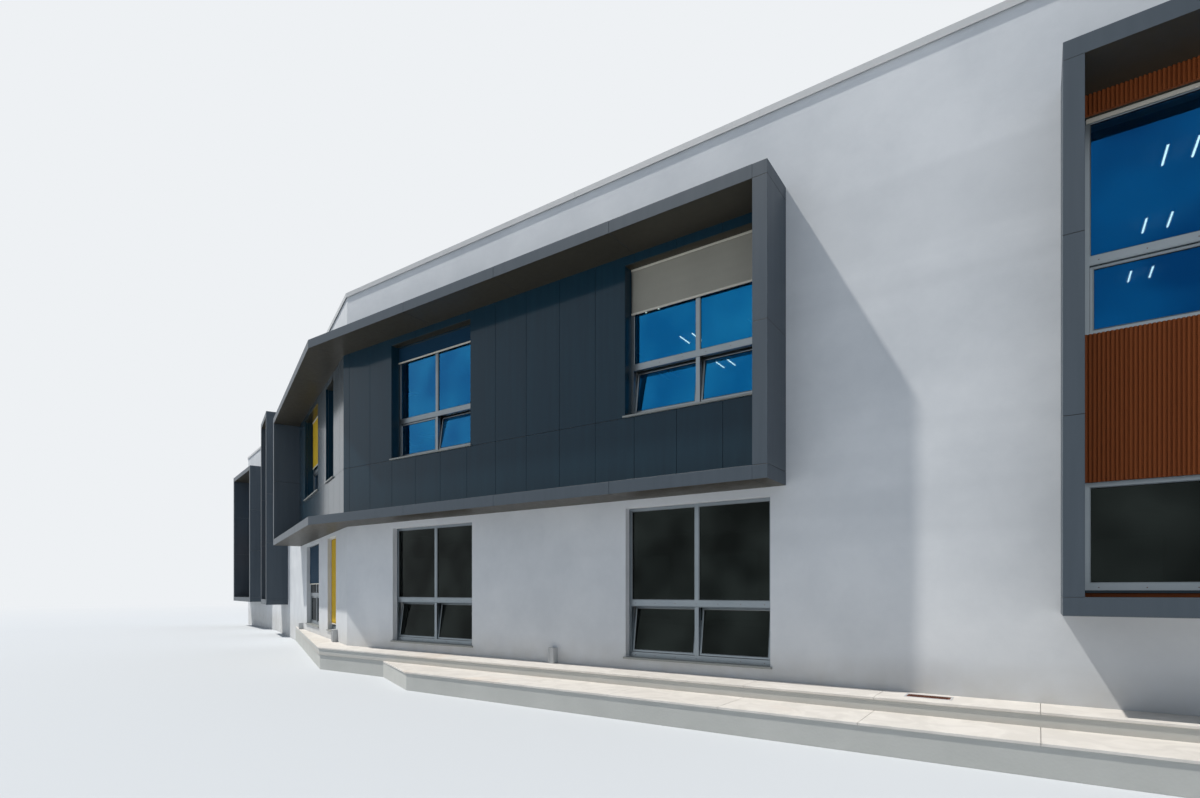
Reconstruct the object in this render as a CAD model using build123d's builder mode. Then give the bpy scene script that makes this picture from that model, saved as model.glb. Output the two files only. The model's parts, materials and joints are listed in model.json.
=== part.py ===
from build123d import *
import os
from collections import namedtuple
from math import cos, radians, sin

# School building: two storeys, a long bar bent twice in plan, with metal frames
# that stand out of its white walls round the upper windows and the tall bays.
# Millimetres. Z is up and the ground is at zero. X runs to the right along the
# long front, which faces -Y. The origin is under the middle of the whole building.

# Plan: the front turns back by these angles from the long front's line
FOLDED_ANGLE = 23.1
LEFT_ANGLE = 16.9
BUILDING_DEPTH = 12000
WALL = 400
SLAB_JOINT = 20

# Heights above the ground
LEDGE_TOP = 480
STEP = 160
GROUND_FLOOR = 500
FIRST_FLOOR = 3980
FIRST_SLAB = 350
ROOF_TOP = 7680
ROOF_SLAB = 400
PARAPET_TOP = 8380
COPING_PLATE = 30
COPING_LIP = 70
COPING_OVERHANG = 30

# Ledges along the foot of the front
UPPER_LEDGE_DEPTH = 620
LOWER_LEDGE_DEPTH = 1420
LEDGE_TAPER_END = 8900
LOWER_LEDGE_START = 2060
LOWER_LEDGE_SLANT = 1730
LEDGE_SLAB = 30
LEDGE_SLAB_LENGTH = 1600
LEDGE_NOSING = 15
LEDGE_JOINT = 4
FOOT_SETBACK = 20

# Window heights
GROUND_SILL = 670
GROUND_HEAD = 3020
GROUND_RAIL = 1520
FOLDED_GROUND_SILL = 710
FOLDED_GROUND_HEAD = 3050
FOLDED_GROUND_RAIL = 1580
UPPER_SILL = 4480
UPPER_HEAD = 6860
UPPER_RAIL = 5290

# Window sections
FRAME_WIDTH = 42
FRAME_FOOT = 75
FRAME_DEPTH = 70
MULLION = 65
RAIL = 105
GROUND_SETBACK = 110
UPPER_SETBACK = 180
PORTAL_SETBACK = 60
PANE = 24
SASH_WIDTH = 24
SASH_DEPTH = 50
SASH_CLEARANCE = 4
SASH_TILT = 8.0
SILL_THICKNESS = 30
SILL_PROJECTION = 35
SILL_EAR = 30
LINING = 15
PORTAL_LINING = 35

# Screens outside the glass
SCREEN = 8
SCREEN_GAP = 20
SCREEN_SIDE = 12
SCREEN_BAR = 30
SCREEN_BAR_DEPTH = 20
BLUE_SCREEN_BOTTOM = 6515
BEIGE_SCREEN_BOTTOM = 6130
YELLOW_SCREEN_BOTTOM = 5430
BLUE_LOWER_SCREEN_BOTTOM = 1890
YELLOW_LOWER_SCREEN_BOTTOM = 850

# Box frame that wraps the fold
BOX_RIGHT = 9960
BOX_LEFT = 7650
BOX_BOTTOM = 3145
BOX_TOP = 7190
BOX_DEPTH_LONG = 720
BOX_DEPTH_FOLDED = 800
BEAM = 185
FIN = 200
SHEET_JOINT = 4
SHEET_PITCH = 2350
SHEET_START = 2850

# Tall frames
PORTAL_WIDTH = 4200
PORTAL_BOTTOM = 1470
PORTAL_TOP = 7170
PORTAL_LEFT = 12980
PORTAL_FIN = 175
PORTAL_DEPTH = 720
PORTAL_JOINTS = [3455, 5250]
TALL_RIGHT = 11100
TALL_WIDTH = 2300
TALL_BOTTOM = 1180
TALL_TOP = PARAPET_TOP - COPING_PLATE - COPING_LIP
LEFT_PORTAL_RIGHT = 1730
LEFT_PORTAL_BOTTOM = 1200
LEFT_PORTAL_TOP = 7190

# Plain wall past the last tall frame of each straight length, and the three lengths that follow
LONG_END = 2020
FOLDED_END = 1600
LEFT_END = 470
LONG_LENGTH = PORTAL_LEFT + PORTAL_WIDTH + LONG_END
FOLDED_LENGTH = TALL_RIGHT + TALL_WIDTH + FOLDED_END
LEFT_LENGTH = LEFT_PORTAL_RIGHT + PORTAL_WIDTH + LEFT_END

# Infill of the tall frames, heights above the ground
PORTAL_LOWER_SILL = 1725
PORTAL_LOWER_HEAD = 2870
PORTAL_UPPER_SILL = 4410
PORTAL_UPPER_HEAD = 6770
PORTAL_UPPER_RAIL = 5250
RIB_PITCH = 95
RIB_WIDTH = 55
RIB_DEPTH = 22
RIB_BACKING = 18
CLADDING_LAP = 30

# Dark panels inside the box frame: almost flush on the long front, built out on the folded one
PANEL_LONG = 20
PANEL_FOLDED = 60
PANEL_JOINT = 5
PANEL_MODULE = 745
PANEL_START_LONG = 110
PANEL_START_FOLDED = 560
PANEL_LEVEL = 4480

# Windows of the back walls, with the least wall past the last one
BACK_WINDOW = 2200
BACK_SPACING = 3350
BACK_MARGIN = 450

# Small pieces at the foot of the wall, each lamp box by its left side, width and height
LAMP_BOX_DEPTH = 120
LONG_LAMP_BOX = (5900, 120, 270)
FOLDED_LAMP_BOXES = ((-1310, 170, 300), (-7150, 130, 200))
GRATING_LENGTH = 450
GRATING_WIDTH = 200
GRATING_LEFT = 11500
GRATING_FRONT = 150
GRATING_DEPTH = 20
GRATING_SLOT = 12
GRATING_PITCH = 25
GRATING_RIM = 20
GRATING_CLEARANCE = 2

# Strip lights under the ceilings, square to the front
LIGHT_LENGTH = 1200
LIGHT_WIDTH = 70
LIGHT_HEIGHT = 50
LIGHT_ROWS = (2200, 6000, 9800)
LIGHT_SPACING = 3100
LIGHT_COUNTS = (5, 4, 1)

Opening = namedtuple("Opening", "left right sill head rail mullion", defaults=(None, None))

GROUND_WINDOWS = [
    Opening(1600, 3950, GROUND_SILL, GROUND_HEAD, GROUND_RAIL, 2810),
    Opening(7390, 9740, GROUND_SILL, GROUND_HEAD, GROUND_RAIL, 8575),
]
UPPER_WINDOWS = [
    Opening(1585, 3930, UPPER_SILL, UPPER_HEAD, UPPER_RAIL, 2760),
    Opening(7390, 9600, UPPER_SILL, UPPER_HEAD, UPPER_RAIL, 8560),
]
FOLDED_GROUND_WINDOWS = [
    Opening(-2550, -1380, FOLDED_GROUND_SILL, FOLDED_GROUND_HEAD, FOLDED_GROUND_RAIL),
    Opening(-6280, -3950, FOLDED_GROUND_SILL, FOLDED_GROUND_HEAD, FOLDED_GROUND_RAIL, -5115),
]
FOLDED_UPPER_WINDOWS = [
    Opening(-2430, -1370, UPPER_SILL, UPPER_HEAD, UPPER_RAIL),
    Opening(-6200, -3720, UPPER_SILL, UPPER_HEAD, UPPER_RAIL, -4960),
]

# Plan geometry
ANGLES = (0, FOLDED_ANGLE, LEFT_ANGLE)
LENGTHS = (LONG_LENGTH, FOLDED_LENGTH, LEFT_LENGTH)
LONG, FOLDED, LEFT = 0, 1, 2
BAYS = (LONG, FOLDED, LEFT)


def leftward(bay):
    """Unit vector along a front, towards its left end."""
    angle = radians(ANGLES[bay])
    return Vector(-cos(angle), sin(angle))


def inward(bay):
    """Unit vector from a front into the building."""
    angle = radians(ANGLES[bay])
    return Vector(sin(angle), cos(angle))


def front_corners():
    """Corners of the front line, from the right end to the left end, with the fold at zero."""
    points = [Vector(LONG_LENGTH, 0)]
    for bay in BAYS:
        points.append(points[-1] + leftward(bay) * LENGTHS[bay])
    return points


def moved_corner(points, index, depths):
    """A corner of the front line after each front has moved into the building by its depth."""
    if index == 0:
        return points[0] + inward(LONG) * depths[LONG]
    if index == len(BAYS):
        return points[index] + inward(LEFT) * depths[LEFT]
    right, left = inward(index - 1), inward(index)
    share = right.dot(left)
    spread = 1 - share**2
    return (
        points[index]
        + right * ((depths[index - 1] - share * depths[index]) / spread)
        + left * ((depths[index] - share * depths[index - 1]) / spread)
    )


def rim_point(points, step, inset):
    """Corner of the loop round all eight walls, moved in from the outer faces by an inset."""
    step %= 2 * len(points)
    at_front = step < len(points)
    index = step if at_front else 2 * len(points) - 1 - step
    depth = inset if at_front else BUILDING_DEPTH - inset
    point = moved_corner(points, index, [depth] * len(BAYS))
    if index == 0:
        return point + leftward(LONG) * inset
    if index == len(BAYS):
        return point - leftward(LEFT) * inset
    return point


def plan_middle():
    """Middle of the box round the coping and the ledges, with the fold at zero."""
    points = front_corners()
    loop = [rim_point(points, step, -COPING_OVERHANG) for step in range(2 * len(points))]
    across = [point.X for point in loop]
    along = [point.Y for point in loop] + [-LOWER_LEDGE_DEPTH]
    return Vector((min(across) + max(across)) / 2, (min(along) + max(along)) / 2)


MIDDLE = plan_middle()
FRONT = [point - MIDDLE for point in front_corners()]
FOLD = FRONT[1]


def corner(index, depth, left_depth=None):
    """Corner of the front line moved in by a depth, which may differ on its left side."""
    depths = [depth] * len(BAYS)
    if left_depth is not None:
        depths[index] = left_depth
    return moved_corner(FRONT, index, depths)


def bay_outline(bay, outer, inner, end=0, joint=0):
    """Four corners of one straight length between two depths, in order round the outline."""
    along = leftward(bay)
    right_trim = along * (end if bay == LONG else joint / 2)
    left_trim = along * (end if bay == LEFT else joint / 2)
    return [
        corner(bay, outer) + right_trim,
        corner(bay + 1, outer) - left_trim,
        corner(bay + 1, inner) - left_trim,
        corner(bay, inner) + right_trim,
    ]


def front_plane(bay):
    """Outer face of a front: x to the right, y up from the ground, z out of the wall.
    Its origin is at the fold for the first two fronts and at the second fold for the third."""
    origin = FRONT[2] if bay == LEFT else FOLD
    return Plane(origin=origin, x_dir=-leftward(bay), z_dir=-inward(bay))


def prism(points, bottom, top, mode=Mode.ADD):
    """Upright prism on a plan outline, from one height to another."""
    with BuildSketch(Plane.XY.offset(bottom)) as plan:
        with BuildLine():
            Polyline(*[(point.X, point.Y) for point in points], close=True)
        make_face()
    extrude(plan.sketch, amount=top - bottom, mode=mode)


def rectangle(left, right, bottom, top, mode=Mode.ADD):
    """Rectangle in the current sketch by its four sides."""
    with Locations(((left + right) / 2, (bottom + top) / 2)):
        Rectangle(right - left, top - bottom, mode=mode)


def slab(plane, left, right, bottom, top, inner, outer, mode=Mode.ADD):
    """Box on a face plane, from one distance out of the face to another."""
    with BuildSketch(plane.offset(inner)) as face:
        rectangle(left, right, bottom, top)
    extrude(face.sketch, amount=outer - inner, mode=mode)


def cut_openings(plane, openings, lining=0):
    """Cut window openings through the wall behind a face plane, with room for a lining."""
    for opening in openings:
        slab(plane, opening.left - lining, opening.right + lining, opening.sill - SILL_THICKNESS,
             opening.head + lining, -WALL - FRAME_DEPTH, FRAME_DEPTH, mode=Mode.SUBTRACT)


def portal_openings(left, right):
    """The lower and the upper window inside a tall frame."""
    inner_left = left + PORTAL_FIN + PORTAL_LINING
    inner_right = right - PORTAL_FIN - PORTAL_LINING
    middle = (left + right) / 2 if right - left > TALL_WIDTH else None
    return [
        Opening(inner_left, inner_right, PORTAL_LOWER_SILL, PORTAL_LOWER_HEAD, None, middle),
        Opening(inner_left, inner_right, PORTAL_UPPER_SILL, PORTAL_UPPER_HEAD, PORTAL_UPPER_RAIL, middle),
    ]


def save(part, name):
    """Label a finished piece and write its file."""
    part.label = name
    export_step(part, f"parts/{name}.step")


os.makedirs("parts", exist_ok=True)
LONG_FACE, FOLDED_FACE, LEFT_FACE = (front_plane(bay) for bay in BAYS)
RIGHT_PORTAL = portal_openings(PORTAL_LEFT, PORTAL_LEFT + PORTAL_WIDTH)
TALL_PORTAL = portal_openings(-TALL_RIGHT - TALL_WIDTH, -TALL_RIGHT)
LEFT_PORTAL = portal_openings(-LEFT_PORTAL_RIGHT - PORTAL_WIDTH, -LEFT_PORTAL_RIGHT)
WALL_TOP = PARAPET_TOP - COPING_PLATE

# Front walls
with BuildPart() as front_wall_long:
    prism(bay_outline(LONG, 0, WALL), 0, WALL_TOP)
    cut_openings(LONG_FACE, GROUND_WINDOWS)
    cut_openings(LONG_FACE, UPPER_WINDOWS, LINING)
    cut_openings(LONG_FACE, RIGHT_PORTAL, PORTAL_LINING)
save(front_wall_long.part, "front_wall_long")

with BuildPart() as front_wall_folded:
    prism(bay_outline(FOLDED, 0, WALL), 0, WALL_TOP)
    cut_openings(FOLDED_FACE, FOLDED_GROUND_WINDOWS)
    cut_openings(FOLDED_FACE, FOLDED_UPPER_WINDOWS, LINING)
    cut_openings(FOLDED_FACE, TALL_PORTAL, PORTAL_LINING)
save(front_wall_folded.part, "front_wall_folded")

with BuildPart() as front_wall_left:
    prism(bay_outline(LEFT, 0, WALL), 0, WALL_TOP)
    cut_openings(LEFT_FACE, LEFT_PORTAL, PORTAL_LINING)
save(front_wall_left.part, "front_wall_left")


# Back walls, with plain rows of windows on both storeys
def back_length(bay):
    """Length of a back wall along its outer face."""
    return (corner(bay, BUILDING_DEPTH) - corner(bay + 1, BUILDING_DEPTH)).length


def back_windows(bay):
    """Evenly spaced windows of both storeys, as many as the wall holds, measured along its face."""
    length = back_length(bay)
    gaps = int((length - BACK_WINDOW - 2 * BACK_MARGIN) / BACK_SPACING)
    rows = []
    for sill, head, rail in ((GROUND_SILL, GROUND_HEAD, GROUND_RAIL), (UPPER_SILL, UPPER_HEAD, UPPER_RAIL)):
        for step in range(gaps + 1):
            centre = length / 2 + (step - gaps / 2) * BACK_SPACING
            left, right = centre - BACK_WINDOW / 2, centre + BACK_WINDOW / 2
            rows.append(Opening(left, right, sill, head, rail, centre))
    return rows


def back_face(bay):
    """Outer face of a back wall as seen from behind: x to the right, y up, z out."""
    return Plane(origin=corner(bay, BUILDING_DEPTH), x_dir=leftward(bay), z_dir=inward(bay))


BACK_NAMES = ("back_wall_long", "back_wall_folded", "back_wall_left")
for bay, name in zip(BAYS, BACK_NAMES):
    with BuildPart() as back_wall:
        prism(bay_outline(bay, BUILDING_DEPTH - WALL, BUILDING_DEPTH), 0, WALL_TOP)
        cut_openings(back_face(bay), back_windows(bay))
    save(back_wall.part, name)


# End walls, plain, between the front and the back
def end_outline(index, bay, side):
    """Outline of an end wall: it stands inside the end line by the wall's thickness."""
    along = leftward(bay) * side
    near = corner(index, WALL)
    far = corner(index, BUILDING_DEPTH - WALL)
    return [near, near + along * WALL, far + along * WALL, far]


with BuildPart() as end_walls:
    prism(end_outline(0, LONG, 1), 0, WALL_TOP)
    prism(end_outline(3, LEFT, -1), 0, WALL_TOP)
save(end_walls.part, "end_walls")


# Floors and roof, in three lengths with a building joint at each fold
def floor_slabs(bottom, top):
    """One slab in each straight length, inside the walls."""
    for bay in BAYS:
        prism(bay_outline(bay, WALL, BUILDING_DEPTH - WALL, WALL, SLAB_JOINT), bottom, top)


with BuildPart() as ground_floor:
    floor_slabs(0, GROUND_FLOOR)
save(ground_floor.part, "ground_floor")

with BuildPart() as first_floor:
    floor_slabs(FIRST_FLOOR - FIRST_SLAB, FIRST_FLOOR)
save(first_floor.part, "first_floor")

with BuildPart() as roof_slab:
    floor_slabs(ROOF_TOP - ROOF_SLAB, ROOF_TOP)
save(roof_slab.part, "roof_slab")


# Parapet coping: a folded sheet over each wall top, with a lip down both sides
def rim_outline(step, outer, inner):
    """One side of the loop round the walls between two insets, mitred, with a joint at each end."""
    near, far = rim_point(FRONT, step, outer), rim_point(FRONT, step + 1, outer)
    gap = (far - near).normalized() * (SHEET_JOINT / 2)
    inner_near, inner_far = rim_point(FRONT, step, inner), rim_point(FRONT, step + 1, inner)
    return [near + gap, far - gap, inner_far - gap, inner_near + gap]


with BuildPart() as parapet_coping:
    for step in range(2 * len(FRONT)):
        prism(rim_outline(step, -COPING_OVERHANG, WALL + COPING_OVERHANG), WALL_TOP, PARAPET_TOP)
        prism(rim_outline(step, -COPING_OVERHANG, 0), WALL_TOP - COPING_LIP, WALL_TOP)
        prism(rim_outline(step, WALL, WALL + COPING_OVERHANG), WALL_TOP - COPING_LIP, WALL_TOP)
save(parapet_coping.part, "parapet_coping")


# Ledges along the foot of the front: stone slabs with a nosing, on a base with a recessed foot
def on_front(bay, along, out):
    """Plan point on a front, at a distance along it and a distance out of it."""
    origin = FRONT[2] if bay == LEFT else FOLD
    return origin - leftward(bay) * along - inward(bay) * out


def upper_ledge_outlines(setback, joint=0):
    """The upper ledge's two runs, which meet on the mitre at the fold: one along the long front, and
    one that narrows along the folded front."""
    front = UPPER_LEDGE_DEPTH - setback
    mitre = corner(1, -front)
    taper = on_front(FOLDED, -LEDGE_TAPER_END, 0)
    right, left = -leftward(LONG) * (joint / 2), leftward(FOLDED) * (joint / 2)
    return [
        [corner(0, 0), corner(0, -front), mitre + right, FOLD + right],
        [FOLD + left, mitre + left, taper],
    ]


def lower_ledge_outline(setback):
    """The lower ledge in front of the upper one's foot, with its left end cut on a slant."""
    near = FOLD.Y - UPPER_LEDGE_DEPTH + LEDGE_NOSING + FOOT_SETBACK
    far = FOLD.Y - LOWER_LEDGE_DEPTH + setback
    start = FOLD.X + LOWER_LEDGE_START + setback
    return [
        Vector(FRONT[0].X, near),
        Vector(FRONT[0].X, far),
        Vector(start + LOWER_LEDGE_SLANT, far),
        Vector(start, near),
    ]


def cut_slab_joints(face, length, side, depth, top):
    """Open the joints between the slabs of a ledge, across its depth, from the fold to its end."""
    for turn in range(1, int(length / LEDGE_SLAB_LENGTH) + 1):
        along = side * turn * LEDGE_SLAB_LENGTH
        slab(face, along - LEDGE_JOINT / 2, along + LEDGE_JOINT / 2, top - LEDGE_SLAB, top, 0, depth,
             mode=Mode.SUBTRACT)


LOWER_LEDGE_TOP = LEDGE_TOP - STEP
with BuildPart() as ledge_base:
    for outline in upper_ledge_outlines(LEDGE_NOSING + FOOT_SETBACK):
        prism(outline, 0, LOWER_LEDGE_TOP)
    for outline in upper_ledge_outlines(LEDGE_NOSING):
        prism(outline, LOWER_LEDGE_TOP, LEDGE_TOP - LEDGE_SLAB)
    prism(lower_ledge_outline(LEDGE_NOSING), 0, LOWER_LEDGE_TOP - LEDGE_SLAB)
save(ledge_base.part, "ledge_base")

with BuildPart() as upper_ledge:
    for outline in upper_ledge_outlines(0, LEDGE_JOINT):
        prism(outline, LEDGE_TOP - LEDGE_SLAB, LEDGE_TOP)
    cut_slab_joints(LONG_FACE, LONG_LENGTH, 1, LOWER_LEDGE_DEPTH, LEDGE_TOP)
    cut_slab_joints(FOLDED_FACE, LEDGE_TAPER_END, -1, LOWER_LEDGE_DEPTH, LEDGE_TOP)
    slab(LONG_FACE, GRATING_LEFT, GRATING_LEFT + GRATING_LENGTH,
         LEDGE_TOP - GRATING_DEPTH, LEDGE_TOP, GRATING_FRONT, GRATING_FRONT + GRATING_WIDTH,
         mode=Mode.SUBTRACT)
save(upper_ledge.part, "upper_ledge")

with BuildPart() as lower_ledge:
    prism(lower_ledge_outline(0), LOWER_LEDGE_TOP - LEDGE_SLAB, LOWER_LEDGE_TOP)
    cut_slab_joints(LONG_FACE, LONG_LENGTH, 1, LOWER_LEDGE_DEPTH, LOWER_LEDGE_TOP)
save(lower_ledge.part, "lower_ledge")

with BuildPart() as ledge_grating:
    slot_length = GRATING_WIDTH - 2 * GRATING_CLEARANCE - 2 * GRATING_RIM
    slot_count = int((GRATING_LENGTH - 2 * GRATING_RIM) / GRATING_PITCH)
    middle = FOLD + Vector(GRATING_LEFT + GRATING_LENGTH / 2, -GRATING_FRONT - GRATING_WIDTH / 2)
    with BuildSketch(Plane(origin=(middle.X, middle.Y, LEDGE_TOP - GRATING_DEPTH))) as grate:
        Rectangle(GRATING_LENGTH - 2 * GRATING_CLEARANCE, GRATING_WIDTH - 2 * GRATING_CLEARANCE)
        with GridLocations(GRATING_PITCH, 0, slot_count, 1):
            Rectangle(GRATING_SLOT, slot_length, mode=Mode.SUBTRACT)
    extrude(amount=GRATING_DEPTH)
save(ledge_grating.part, "ledge_grating")


# Lamp boxes standing on the ledge against the wall foot
with BuildPart() as lamp_boxes:
    for face, (left, width, height) in (
        (LONG_FACE, LONG_LAMP_BOX),
        (FOLDED_FACE, FOLDED_LAMP_BOXES[0]),
        (FOLDED_FACE, FOLDED_LAMP_BOXES[1]),
    ):
        slab(face, left, left + width, LEDGE_TOP, LEDGE_TOP + height, 0, LAMP_BOX_DEPTH)
save(lamp_boxes.part, "lamp_boxes")


# Box frame round the upper windows, of sheet-metal lengths with open joints, mitred at the fold
def fold_strip(bay, end, long_depth, folded_depth):
    """Plan outline from the mitre at the fold to a station on one front."""
    away = leftward(bay) * (SHEET_JOINT / 2) * (-1 if bay == LONG else 1)
    depth = long_depth if bay == LONG else folded_depth
    mitre = corner(1, -long_depth, -folded_depth)
    return [FOLD + away, mitre + away, on_front(bay, end, depth), on_front(bay, end, 0)]


def box_stations(bay):
    """Places along a front where the beams' sheets meet, ending at the fin."""
    if bay == LONG:
        end, start, step = BOX_RIGHT - FIN, SHEET_START, SHEET_PITCH
        return [start + step * turn for turn in range(int((end - start) / step) + 1)] + [end]
    end = BOX_LEFT - FIN
    return [-SHEET_PITCH * turn for turn in range(1, int(end / SHEET_PITCH) + 1)] + [-end]


def box_beam(bottom, top):
    """A beam of the box frame along both fronts, between two heights."""
    half = SHEET_JOINT / 2
    for bay, depth in ((LONG, BOX_DEPTH_LONG), (FOLDED, BOX_DEPTH_FOLDED)):
        side = 1 if bay == LONG else -1
        stations = box_stations(bay)
        first = stations[0] - side * half
        prism(fold_strip(bay, first, BOX_DEPTH_LONG, BOX_DEPTH_FOLDED), bottom, top)
        for near, far in zip(stations, stations[1:]):
            near, far = near + side * half, far - side * half
            prism([on_front(bay, near, 0), on_front(bay, near, depth),
                   on_front(bay, far, depth), on_front(bay, far, 0)], bottom, top)


with BuildPart() as box_frame_top:
    box_beam(BOX_TOP - BEAM, BOX_TOP)
save(box_frame_top.part, "box_frame_top")

with BuildPart() as box_frame_bottom:
    box_beam(BOX_BOTTOM, BOX_BOTTOM + BEAM)
save(box_frame_bottom.part, "box_frame_bottom")


def fin_pieces(face, left, right, levels, depth):
    """An upright of a metal frame, in sheets with open joints at the given levels."""
    half = SHEET_JOINT / 2
    for bottom, top in zip(levels, levels[1:]):
        slab(face, left, right, bottom + half, top - half, 0, depth)


BOX_LEVELS = [BOX_BOTTOM, BOX_BOTTOM + BEAM, (BOX_BOTTOM + BOX_TOP) / 2, BOX_TOP - BEAM, BOX_TOP]
with BuildPart() as box_frame_fins:
    fin_pieces(LONG_FACE, BOX_RIGHT - FIN, BOX_RIGHT, BOX_LEVELS, BOX_DEPTH_LONG)
    fin_pieces(FOLDED_FACE, -BOX_LEFT, -BOX_LEFT + FIN, BOX_LEVELS, BOX_DEPTH_FOLDED)
save(box_frame_fins.part, "box_frame_fins")


# Tall frames round the two-storey bays
def tall_frame(face, left, right, bottom, top):
    """Two beams over the whole width and two uprights between them, with open joints."""
    levels = [bottom + BEAM] + PORTAL_JOINTS + [top - BEAM]
    for side in (left, right - PORTAL_FIN):
        fin_pieces(face, side, side + PORTAL_FIN, levels, PORTAL_DEPTH)
    for low in (bottom, top - BEAM):
        slab(face, left, right, low, low + BEAM, 0, PORTAL_DEPTH)


with BuildPart() as right_tall_frame:
    tall_frame(LONG_FACE, PORTAL_LEFT, PORTAL_LEFT + PORTAL_WIDTH, PORTAL_BOTTOM, PORTAL_TOP)
save(right_tall_frame.part, "right_tall_frame")

with BuildPart() as narrow_tall_frame:
    tall_frame(FOLDED_FACE, -TALL_RIGHT - TALL_WIDTH, -TALL_RIGHT, TALL_BOTTOM, TALL_TOP)
save(narrow_tall_frame.part, "narrow_tall_frame")

with BuildPart() as left_tall_frame:
    tall_frame(LEFT_FACE, -LEFT_PORTAL_RIGHT - PORTAL_WIDTH, -LEFT_PORTAL_RIGHT,
               LEFT_PORTAL_BOTTOM, LEFT_PORTAL_TOP)
save(left_tall_frame.part, "left_tall_frame")


# Dark panels that line the wall inside the box frame
def panel_seams(bay, end):
    """Places of the upright joints along a front, from the fold outwards."""
    side, start = (1, PANEL_START_LONG) if bay == LONG else (-1, PANEL_START_FOLDED)
    count = int((end - start) / PANEL_MODULE) + 1
    return [side * (start + PANEL_MODULE * step) for step in range(count)] + [side * end]


def panels(bay, end, depth, windows):
    """Two rows of panels along a front, cut round its windows, with a folded panel at the fold."""
    seams = panel_seams(bay, end)
    half = PANEL_JOINT / 2
    side = 1 if bay == LONG else -1
    low, high = BOX_BOTTOM + BEAM, BOX_TOP - BEAM
    rows = ((low, PANEL_LEVEL - SILL_THICKNESS - half), (PANEL_LEVEL - SILL_THICKNESS + half, high))
    for bottom, top in rows:
        prism(fold_strip(bay, seams[0] - side * half, PANEL_LONG, PANEL_FOLDED), bottom, top)
        with BuildSketch(front_plane(bay)) as sheet:
            for near, far in zip(seams, seams[1:]):
                left, right = sorted((near, far))
                rectangle(left + half, right - half, bottom, top)
            for window in windows:
                foot = window.sill - SILL_THICKNESS
                rectangle(window.left, window.right, foot, window.head, Mode.SUBTRACT)
        extrude(sheet.sketch, amount=depth)


with BuildPart() as dark_panels_long:
    panels(LONG, BOX_RIGHT - FIN, PANEL_LONG, UPPER_WINDOWS)
save(dark_panels_long.part, "dark_panels_long")

with BuildPart() as dark_panels_folded:
    panels(FOLDED, BOX_LEFT - FIN, PANEL_FOLDED, FOLDED_UPPER_WINDOWS)
save(dark_panels_folded.part, "dark_panels_folded")


# Ribbed cladding between and over the windows of the tall frames
def ribbed_strip(face, left, right, bottom, top):
    """A sheet with upright ribs, drawn in plan and raised to its height."""
    width = right - left
    foot = face.from_local_coords(((left + right) / 2, bottom, 0))
    plan = Plane(origin=foot, x_dir=face.x_dir, z_dir=(0, 0, 1))
    with BuildSketch(plan) as profile:
        with Locations((0, -RIB_BACKING / 2)):
            Rectangle(width, RIB_BACKING)
        with Locations((0, -RIB_BACKING - RIB_DEPTH / 2)):
            with GridLocations(RIB_PITCH, 0, int((width - RIB_WIDTH) / RIB_PITCH) + 1, 1):
                Rectangle(RIB_WIDTH, RIB_DEPTH)
    extrude(profile.sketch, amount=top - bottom)


def ribbed_infill(face, windows, frame_bottom, frame_top):
    """The cladding strips of one tall frame: under, between and over its two windows. The middle one
    laps over the foot of the upper window, and a strip that is too low for ribs stays plain."""
    lower, upper = windows
    left = lower.left - PORTAL_LINING + SHEET_JOINT
    right = lower.right + PORTAL_LINING - SHEET_JOINT
    levels = (
        (frame_bottom + BEAM, lower.sill - SILL_THICKNESS),
        (lower.head, upper.sill + CLADDING_LAP),
        (upper.head, frame_top - BEAM),
    )
    for bottom, top in levels:
        if top - bottom > RIB_PITCH:
            ribbed_strip(face, left, right, bottom, top)
        else:
            slab(face, left, right, bottom, top, 0, RIB_BACKING)


with BuildPart() as ribbed_cladding:
    ribbed_infill(LONG_FACE, RIGHT_PORTAL, PORTAL_BOTTOM, PORTAL_TOP)
    ribbed_infill(FOLDED_FACE, TALL_PORTAL, TALL_BOTTOM, TALL_TOP)
    ribbed_infill(LEFT_FACE, LEFT_PORTAL, LEFT_PORTAL_BOTTOM, LEFT_PORTAL_TOP)
save(ribbed_cladding.part, "ribbed_cladding")


# Windows
def lights(opening):
    """The glazed fields of a window as (left, right, bottom, top, opens)."""
    if opening.mullion is None:
        columns = [(opening.left + FRAME_WIDTH, opening.right - FRAME_WIDTH)]
    else:
        columns = [
            (opening.left + FRAME_WIDTH, opening.mullion - MULLION / 2),
            (opening.mullion + MULLION / 2, opening.right - FRAME_WIDTH),
        ]
    if opening.rail is None:
        rows = [(opening.sill + FRAME_FOOT, opening.head - FRAME_WIDTH, False)]
    else:
        rows = [
            (opening.sill + FRAME_FOOT, opening.rail - RAIL / 2, True),
            (opening.rail + RAIL / 2, opening.head - FRAME_WIDTH, False),
        ]
    return [(left, right, bottom, top, opens) for left, right in columns for bottom, top, opens in rows]


def window_frame(face, opening, setback):
    """The fixed frame, mullion and rail in one piece."""
    with BuildSketch(face.offset(-setback - FRAME_DEPTH)) as outline:
        rectangle(opening.left, opening.right, opening.sill, opening.head)
        for left, right, bottom, top, _ in lights(opening):
            rectangle(left, right, bottom, top, Mode.SUBTRACT)
    extrude(outline.sketch, amount=FRAME_DEPTH)


def fixed_panes(face, opening, setback):
    """Glass held straight in the frame, in every field that doesn't open."""
    middle = -setback - FRAME_DEPTH / 2
    for left, right, bottom, top, opens in lights(opening):
        if not opens:
            slab(face, left, right, bottom, top, middle - PANE / 2, middle + PANE / 2)


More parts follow.
